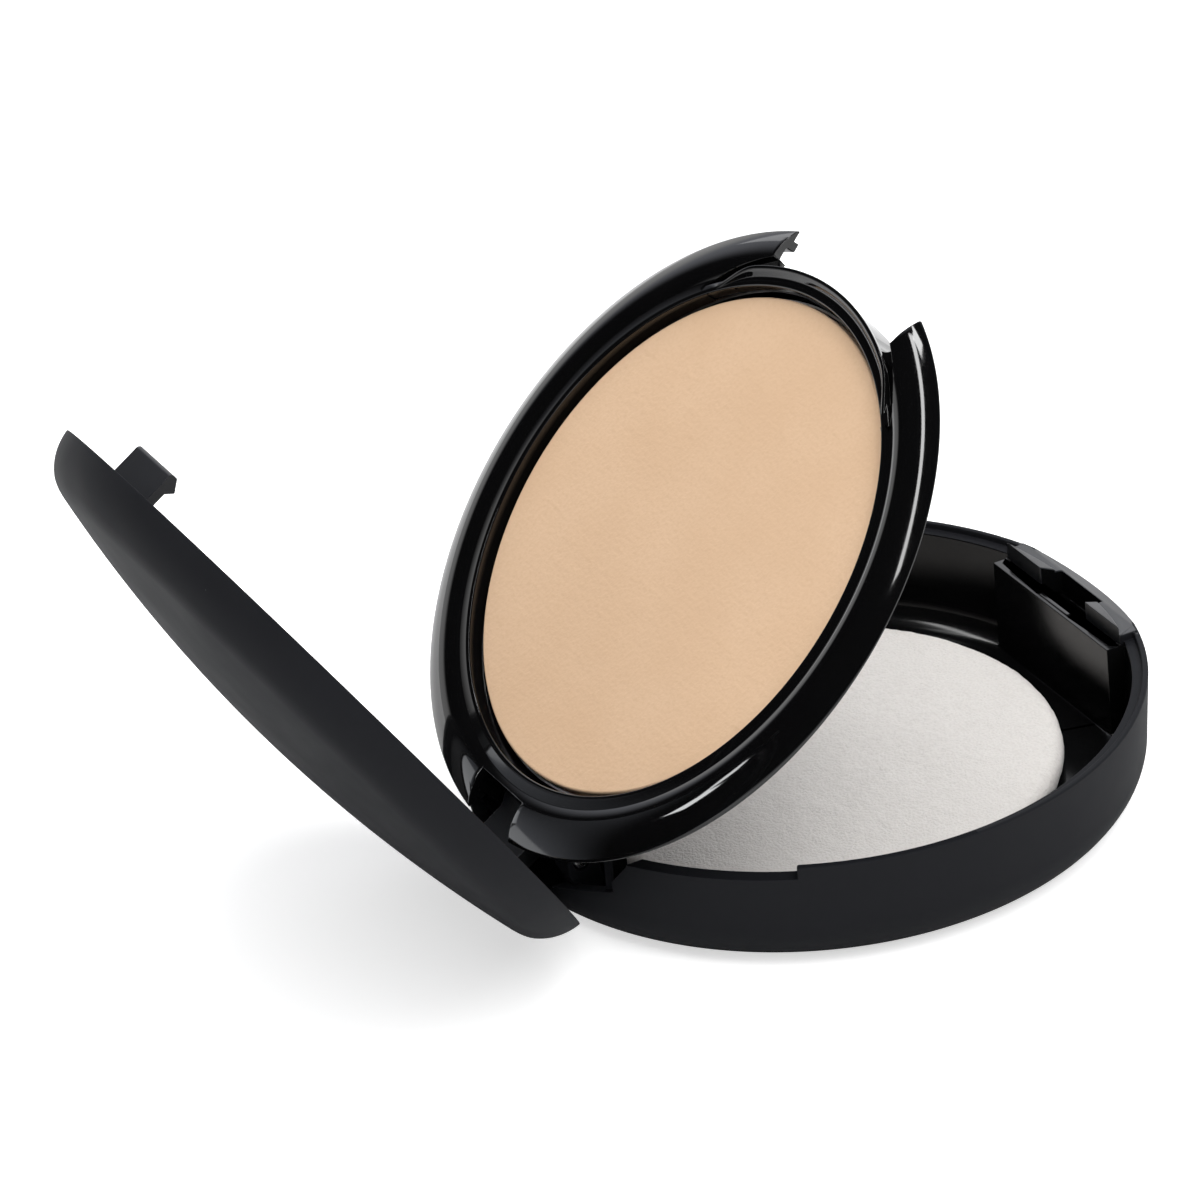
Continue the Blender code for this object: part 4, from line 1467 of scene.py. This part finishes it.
@dataclass
class Lid:
    """The domed lid: outer shell, inner frame with hook and hinge arm, and mirror."""

    compact: Compact
    radius: float = 37.9
    lift: float = 0.3
    rise: float = 9.0
    shell: float = 1.2
    flank_lean: float = 2.3
    flank_height: float = 4.4
    bulge_lean: float = 0.4
    bulge_height: float = 2.8
    inner_flank_lean: float = 1.9
    inner_flank_height: float = 3.3
    shoulder_inset: float = 4.9
    shoulder_height: float = 5.5
    frame_face: float = 1.6
    frame_ring: float = 1.2
    frame_back: float = 0.75
    frame_step: float = 1.0
    mirror_setback: float = 0.2
    mirror_thick: float = 1.1
    mirror_inset: float = 6.9
    glue_thick: float = 0.3
    hook_half: float = 3.95
    hook_tall: float = 3.8
    hook_neck: float = 1.2
    hook_nose: float = 0.9
    hook_nose_rise: float = 1.3
    hook_nose_tall: float = 0.8
    hook_inset: float = 2.9
    hook_gusset: float = 0.8
    hook_round: float = 0.6
    hook_fold_deg: float = 60.0
    web_half: float = 1.1
    rim_proud: float = 0.02
    dome_steps: int = 20
    edge_round: float = 0.09

    @property
    def rim_z(self) -> float:
        """The height of the lid's rim when it is shut."""
        return self.compact.case.rim_z + self.lift

    def build(self) -> None:
        """Builds and dresses the shell, the frame and the mirror."""
        hinge = self.compact.hinge
        pieces = (
            (self.make_shell(), "lid_shell", "lid_plastic"),
            (self.make_frame(), "lid_frame", "frame_plastic"),
            (self.make_mirror(), "mirror", "mirror_glass"),
        )
        for piece, node, slot in pieces:
            Bench.smooth(piece)
            hinge.swing(piece, hinge.lid_deg)
            self.compact.dress(piece, node, Body.LID, slot)

    def dome(self, radius: float) -> float:
        """Gives the dome's outer height above the rim at this radius, inside the shoulder."""
        shoulder_r = self.radius - self.shoulder_inset
        return self.rise - (self.rise - self.shoulder_height) * (radius / shoulder_r) ** 2

    def shoulder(self, foot: Point, top: Point, end: Point) -> Points:
        """Draws the rounded shoulder from the flank's top to the dome's edge.

        Args:
            foot: The flank's foot.
            top: The flank's top.
            end: Where the dome starts.

        Returns:
            The shoulder's points.
        """
        slope = -2 * (self.rise - self.shoulder_height) / (self.radius - self.shoulder_inset)
        lean = (top[0] - foot[0]) / (top[1] - foot[1])
        corner_z = (end[1] + slope * (top[0] - lean * top[1] - end[0])) / (1 - slope * lean)
        corner = (top[0] + lean * (corner_z - top[1]), corner_z)
        return blend(top, corner, end, steps=22)

    def make_shell(self) -> Piece:
        """Turns the lid's domed shell.

        Returns:
            The shell, shut.
        """
        edge = self.compact.case.edge
        shoulder_r = self.radius - self.shoulder_inset
        parts = [1 - step / self.dome_steps for step in range(1, self.dome_steps + 1)]
        foot = (self.radius, edge)
        top = (self.radius - self.flank_lean, self.flank_height)
        bulge = (self.radius - self.bulge_lean, self.bulge_height)
        outer = blend(foot, bulge, top, steps=16)[:-1]
        outer += self.shoulder(bulge, top, (shoulder_r, self.dome(shoulder_r)))
        outer += [(shoulder_r * part, self.dome(shoulder_r * part)) for part in parts]
        in_foot = (self.radius - self.shell, 0.0)
        in_top = (in_foot[0] - self.inner_flank_lean, self.inner_flank_height)
        in_end_r = shoulder_r - self.shell / 2
        inner = self.shoulder(in_foot, in_top, (in_end_r, self.dome(in_end_r) - self.shell))
        inner += [(shoulder_r * part, self.dome(shoulder_r * part) - self.shell) for part in parts]
        rim = rounded(
            [
                Corner(*inner[0]),
                Corner(in_foot[0], in_foot[1], 0.15),
                Corner(self.radius + self.rim_proud, 0.0, 0.3),
                Corner(*outer[0]),
            ]
        )[1:-1]
        section = list(reversed(inner)) + rim + outer
        return Bench.turn("lid_dome", [(r, self.rim_z + z) for r, z in section])

    def make_frame(self) -> Piece:
        """Turns the inner frame and adds the hook and the hinge arm.

        Returns:
            The frame, shut.
        """
        case, hinge = self.compact.case, self.compact.hinge
        face_z = self.rim_z + self.frame_face
        mirror_z = face_z + self.mirror_setback
        bed_z = mirror_z + self.mirror_thick + self.glue_thick + 2 * case.stack_gap
        bed_r = self.radius - self.mirror_inset + case.gap
        lean = self.inner_flank_lean / self.inner_flank_height
        ring_top = self.frame_face + self.frame_ring
        face_r = self.radius - self.shell - case.gap - lean * self.frame_face
        back_r = self.radius - self.shell - case.gap - lean * ring_top
        step_r = bed_r + self.frame_step
        lid_frame = Bench.turn(
            "lid_inner_frame",
            rounded(
                [
                    Corner(0.0, bed_z),
                    Corner(bed_r, bed_z),
                    Corner(bed_r, face_z, 0.25),
                    Corner(face_r, face_z, 0.2),
                    Corner(back_r, self.rim_z + ring_top, 0.15),
                    Corner(step_r, self.rim_z + ring_top, 0.1),
                    Corner(step_r, bed_z + self.frame_back, 0.15),
                    Corner(0.0, bed_z + self.frame_back),
                ]
            ),
        )
        half = case.lid_knuckle_half
        arm_top = face_z + self.frame_ring / 4
        web = (self.web_half, self.web_half)
        arm = knuckle("lid_arm", hinge, case.knuckle_radius, (-half, half), web, arm_top)
        Bench.soften(arm, self.edge_round)
        Bench.combine(lid_frame, arm, Join.FUSE)
        bore = hinge.bore("arm_bore", case.bore_radius, half + case.gap)
        Bench.combine(lid_frame, bore, Join.CUT)
        Bench.combine(lid_frame, self.hook(face_z), Join.FUSE)
        return lid_frame

    def hook(self, face_z: float) -> Piece:
        """Makes the hook that snaps into the base's catch, from the frame's face down.

        Args:
            face_z: The height of the frame's face.

        Returns:
            The hook.
        """
        case = self.compact.case
        back_y = self.hook_inset - case.base_radius
        neck_y = back_y + self.hook_neck
        tip_z = self.rim_z - self.hook_tall
        nose_z = tip_z + self.hook_nose_rise
        root_z = face_z + self.frame_ring / 3
        waist_z = self.rim_z + self.frame_face / 2
        corners = [
            Corner(back_y + self.hook_gusset, root_z),
            Corner(back_y, waist_z, 0.4),
            Corner(back_y, tip_z, self.hook_round),
            Corner(neck_y - case.edge, tip_z, 0.2),
            Corner(neck_y + self.hook_nose, nose_z, 0.15),
            Corner(neck_y, nose_z + self.hook_nose_tall, 0.2),
            Corner(neck_y, waist_z, 0.4),
            Corner(neck_y + self.hook_gusset, root_z),
        ]
        half = self.hook_half
        hook = Bench.block("hook", rounded(corners, closed=True), -half, half, Along.ACROSS)
        Bench.soften(hook, self.edge_round, self.hook_fold_deg)
        return hook

    def make_mirror(self) -> Piece:
        """Turns the round mirror with its ground edge.

        Returns:
            The mirror, shut.
        """
        radius = self.radius - self.mirror_inset
        low = self.rim_z + self.frame_face + self.mirror_setback
        high = low + self.mirror_thick
        section = [Corner(0.0, low), Corner(radius, low, 0.2)]
        section += [Corner(radius, high, 0.1), Corner(0.0, high)]
        return Bench.turn("lid_mirror", rounded(section))


class Shows(Enum):
    """What a lamp reaches: every surface, only soft light, or only gloss."""

    ALL = "all"
    SOFT = "soft"
    SHINE = "shine"


@dataclass(frozen=True)
class Softbox:
    """A flat lamp that faces the compact."""

    name: str
    azimuth: float
    elevation: float
    distance: float
    width: float
    height: float
    power: float
    shows: Shows = Shows.SOFT

    def hang(self, target: Vector) -> None:
        """Hangs the lamp.

        Args:
            target: What it faces.
        """
        around, above = math.radians(self.azimuth), math.radians(self.elevation)
        flat = math.cos(above)
        out = Vector((math.cos(around) * flat, math.sin(around) * flat, math.sin(above)))
        bpy.ops.object.light_add(type="AREA", location=target + out * self.distance)
        lamp = bpy.context.object
        lamp.name = self.name
        lamp.rotation_euler = out.to_track_quat("Z", "Y").to_euler()
        lamp.data.shape = "RECTANGLE"
        lamp.data.size = self.width
        lamp.data.size_y = self.height
        lamp.data.energy = self.power
        lamp.visible_glossy = self.shows is not Shows.SOFT
        lamp.visible_diffuse = self.shows is not Shows.SHINE


@dataclass
class Studio:
    """The pale floor, the lamps, the dim room and the camera."""

    floor_size: float = 6.0
    floor_colour: Colour = (0.86, 0.86, 0.86)
    floor_lift: float = 0.60
    # How far from the middle the floor's glow is held back from gloss: a painted contact shade in
    # the compact's reflections.
    painted_shade_reach: tuple = (0.04, 0.30)
    far_floor: tuple = (0.25, 1.0)
    target: tuple = (0.0, 0.01, 0.025)
    room: Colour = (0.01, 0.01, 0.011)
    walls: tuple = (
        ((0.88, -0.43, 0.12), 0.62, 0.86, (0.69, 0.71, 0.78)),
        ((0.0, 0.0, -1.0), -0.27, -0.15, (1.0, 1.0, 1.0)),
    )
    camera_place: tuple = (-0.664471, 0.345089, 0.451154)
    camera_right: tuple = (-0.475083, -0.876204, -0.081014)
    camera_down: tuple = (-0.401698, 0.297871, -0.865975)
    camera_ahead: tuple = (0.782902, -0.378866, -0.493482)
    lens: float = 235.037
    sensor: float = 36.0
    sees_to: float = 20.0
    lamps: tuple = (
        Softbox("top_softbox", -60.0, 74.0, 1.1, 0.9, 0.9, 6.6),
        Softbox("hinge_side_softbox", 95.0, 45.0, 1.2, 0.8, 0.8, 1.3),
        Softbox("hinge_top_softbox", 95.0, 68.0, 1.2, 0.7, 0.7, 4.1),
        Softbox("left_softbox", 180.0, 50.0, 1.2, 0.8, 0.8, 5.0),
        Softbox("catch_side_softbox", -140.0, 55.0, 1.2, 0.8, 0.8, 5.3),
        Softbox("low_fill", -100.0, 22.0, 1.2, 0.8, 0.5, 1.6),
        Softbox("far_panel", -26.0, 29.0, 1.2, 1.0, 0.45, 1.8, Shows.ALL),
        Softbox("key_lamp", 5.0, 62.0, 1.2, 0.11, 0.12, 0.6, Shows.ALL),
        Softbox("long_strip", 54.0, 65.0, 1.2, 0.95, 0.09, 3.4, Shows.SHINE),
    )

    def build(self) -> None:
        """Sets up the whole studio."""
        self.lay_floor()
        self.light_room()
        for lamp in self.lamps:
            lamp.hang(Vector(self.target))
        self.place_camera()
        bpy.context.scene.view_settings.view_transform = "Standard"

    def glow(self, sheet: Surface) -> Socket:
        """Gives the floor's own light, for rays that show it directly or in gloss and glass.

        It is even near the object and rises to white far off. Near the object gloss sees none of
        it, which leaves a painted contact shade under the compact in its reflections.

        Args:
            sheet: The floor's nodes.

        Returns:
            The socket that holds its strength.
        """
        ray = sheet.add("ShaderNodeLightPath").outputs
        away = sheet.add("ShaderNodeVectorMath")
        away.operation = "LENGTH"
        sheet.link(sheet.places, away.inputs[0])
        far = away.outputs["Value"]
        # Gloss sees no glow within this reach of the middle, a painted contact shade in the
        # compact's reflections.
        gloss_glow_past_painted_shade = sheet.between(far, *self.painted_shade_reach, smooth=True)
        strength = sheet.between(far, *self.far_floor, self.floor_lift, 1.0, smooth=True)
        shown = ray["Is Glossy Ray"]
        for operation, other in (
            ("MAXIMUM", ray["Is Transmission Ray"]),
            ("MULTIPLY", gloss_glow_past_painted_shade),
            ("MAXIMUM", ray["Is Camera Ray"]),
            ("MULTIPLY", strength),
        ):
            shown = sheet.join(operation, shown, other)
        return shown

    def lay_floor(self) -> None:
        """Lays the pale floor, which a little of its own light lifts to white where it shows."""
        bpy.ops.object.select_all(action="DESELECT")
        bpy.ops.mesh.primitive_plane_add(size=self.floor_size)
        floor = bpy.context.object
        floor.name = "studio_floor"
        sheet = Surface("pale_floor")
        sheet.set(Base_Color=self.floor_colour, Roughness=1.0, Specular_IOR_Level=0.0)
        sheet.set(Emission_Color=(1.0, 1.0, 1.0), Emission_Strength=self.glow(sheet))
        floor.data.materials.append(sheet.material)

    def light_room(self) -> None:
        """Makes a dim room with a pale wall on the far side, white from the horizon down."""
        world = bpy.data.worlds.new("studio_room")
        bpy.context.scene.world = world
        world.use_nodes = True
        sheet = NodeSheet(world.node_tree, "Generated")
        colour = self.room
        for side, near, full, tone in self.walls:
            toward = sheet.add("ShaderNodeVectorMath")
            toward.operation = "DOT_PRODUCT"
            toward.inputs[1].default_value = Vector(side).normalized()
            sheet.link(sheet.places, toward.inputs[0])
            share = sheet.between(toward.outputs["Value"], near, full, smooth=True)
            colour = sheet.mix(share, colour, tone)
        sheet.link(colour, sheet.tree.nodes["Background"].inputs["Color"])

    def place_camera(self) -> None:
        """Places the camera where the photograph was taken from."""
        bpy.ops.object.camera_add()
        camera = bpy.context.object
        camera.name = "photo_camera"
        down, ahead = Vector(self.camera_down), Vector(self.camera_ahead)
        turn = Matrix((self.camera_right, -down, -ahead)).transposed()
        camera.matrix_world = Matrix.Translation(self.camera_place) @ turn.to_4x4()
        camera.data.lens = self.lens
        camera.data.sensor_width = self.sensor
        camera.data.clip_end = self.sees_to
        bpy.context.scene.camera = camera


def make_finishes() -> dict[str, bpy.types.Material]:
    """Makes the finishes, named by the record's material slots.

    Returns:
        Each finish by its slot. The base's well, ledge and cut rear rim have their own.
    """
    black = (0.0098, 0.0103, 0.0122)
    deep = (0.0034, 0.0035, 0.0038)
    deepest = (0.0022, 0.0022, 0.0024)
    return {
        "base_plastic": SatinPlastic("satin_black_base", black, 0.60, 0.10).make(),
        "base_inside": GlossPlastic("polished_black_well", deep, 0.14, 0.32).make(),
        "base_ledge": SatinPlastic("satin_black_ledge", black, 0.36, 0.6).make(),
        "base_dull": SatinPlastic("dull_black_base", black, 0.85, 0.02).make(),
        "lid_plastic": SatinPlastic("satin_black_lid", black, 0.62, 0.10).make(),
        "frame_plastic": SatinPlastic("satin_black_frame", black, 0.34, 0.3).make(),
        "tray_plastic": GlossPlastic("polished_black_tray", deepest, 0.05).make(),
        "puff_felt": Felt().make(),
        "powder": PressedPowder().make(),
        "pan_metal": PlainFinish(
            "plain_pan_sheet", (0.82, 0.82, 0.80), 0.8, (0.12, 2.0), (0.3, 0.7), (0.28, 0.42), 0.006
        ).make(),
        "pin_steel": PlainFinish(
            "drawn_steel_wire",
            (0.62, 0.62, 0.63),
            0.8,
            (0.12, 2.0, (20.0, 1.0, 1.0)),
            (0.3, 0.7),
            (0.22, 0.36),
            0.006,
        ).make(),
        "mirror_glass": PlainFinish(
            "silvered_glass", (0.90, 0.915, 0.92), 0.97, (6.0, 3.0), (0.55, 0.8), (0.012, 0.05)
        ).make(),
        "glue": PlainFinish(
            "cloudy_glue", (0.78, 0.74, 0.62), 0.85, (3.0, 3.0), (0.0, 1.0), (0.5, 0.5), 0.05, 0.0
        ).make(),
    }


def main() -> None:
    """Builds the compact piece by piece, and the studio round it."""
    logging.basicConfig(level=logging.INFO, format="%(name)s: %(message)s")
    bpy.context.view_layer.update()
    hinge = Hinge.from_joints(frame["joints"])
    compact = Compact(CaseSizes(), hinge, make_finishes())
    for node in ("pan_glue", "mirror_glue"):
        pad = frame["nodes"][node]
        pad.data.materials.clear()
        pad.data.materials.append(compact.finishes["glue"])
    Base(compact).build()
    Puff(compact).build()
    HingePin(compact).build()
    tray = Tray(compact)
    tray.build()
    PowderPan(compact, tray).build()
    Lid(compact).build()
    Studio().build()


if __name__ == "__main__":
    main()
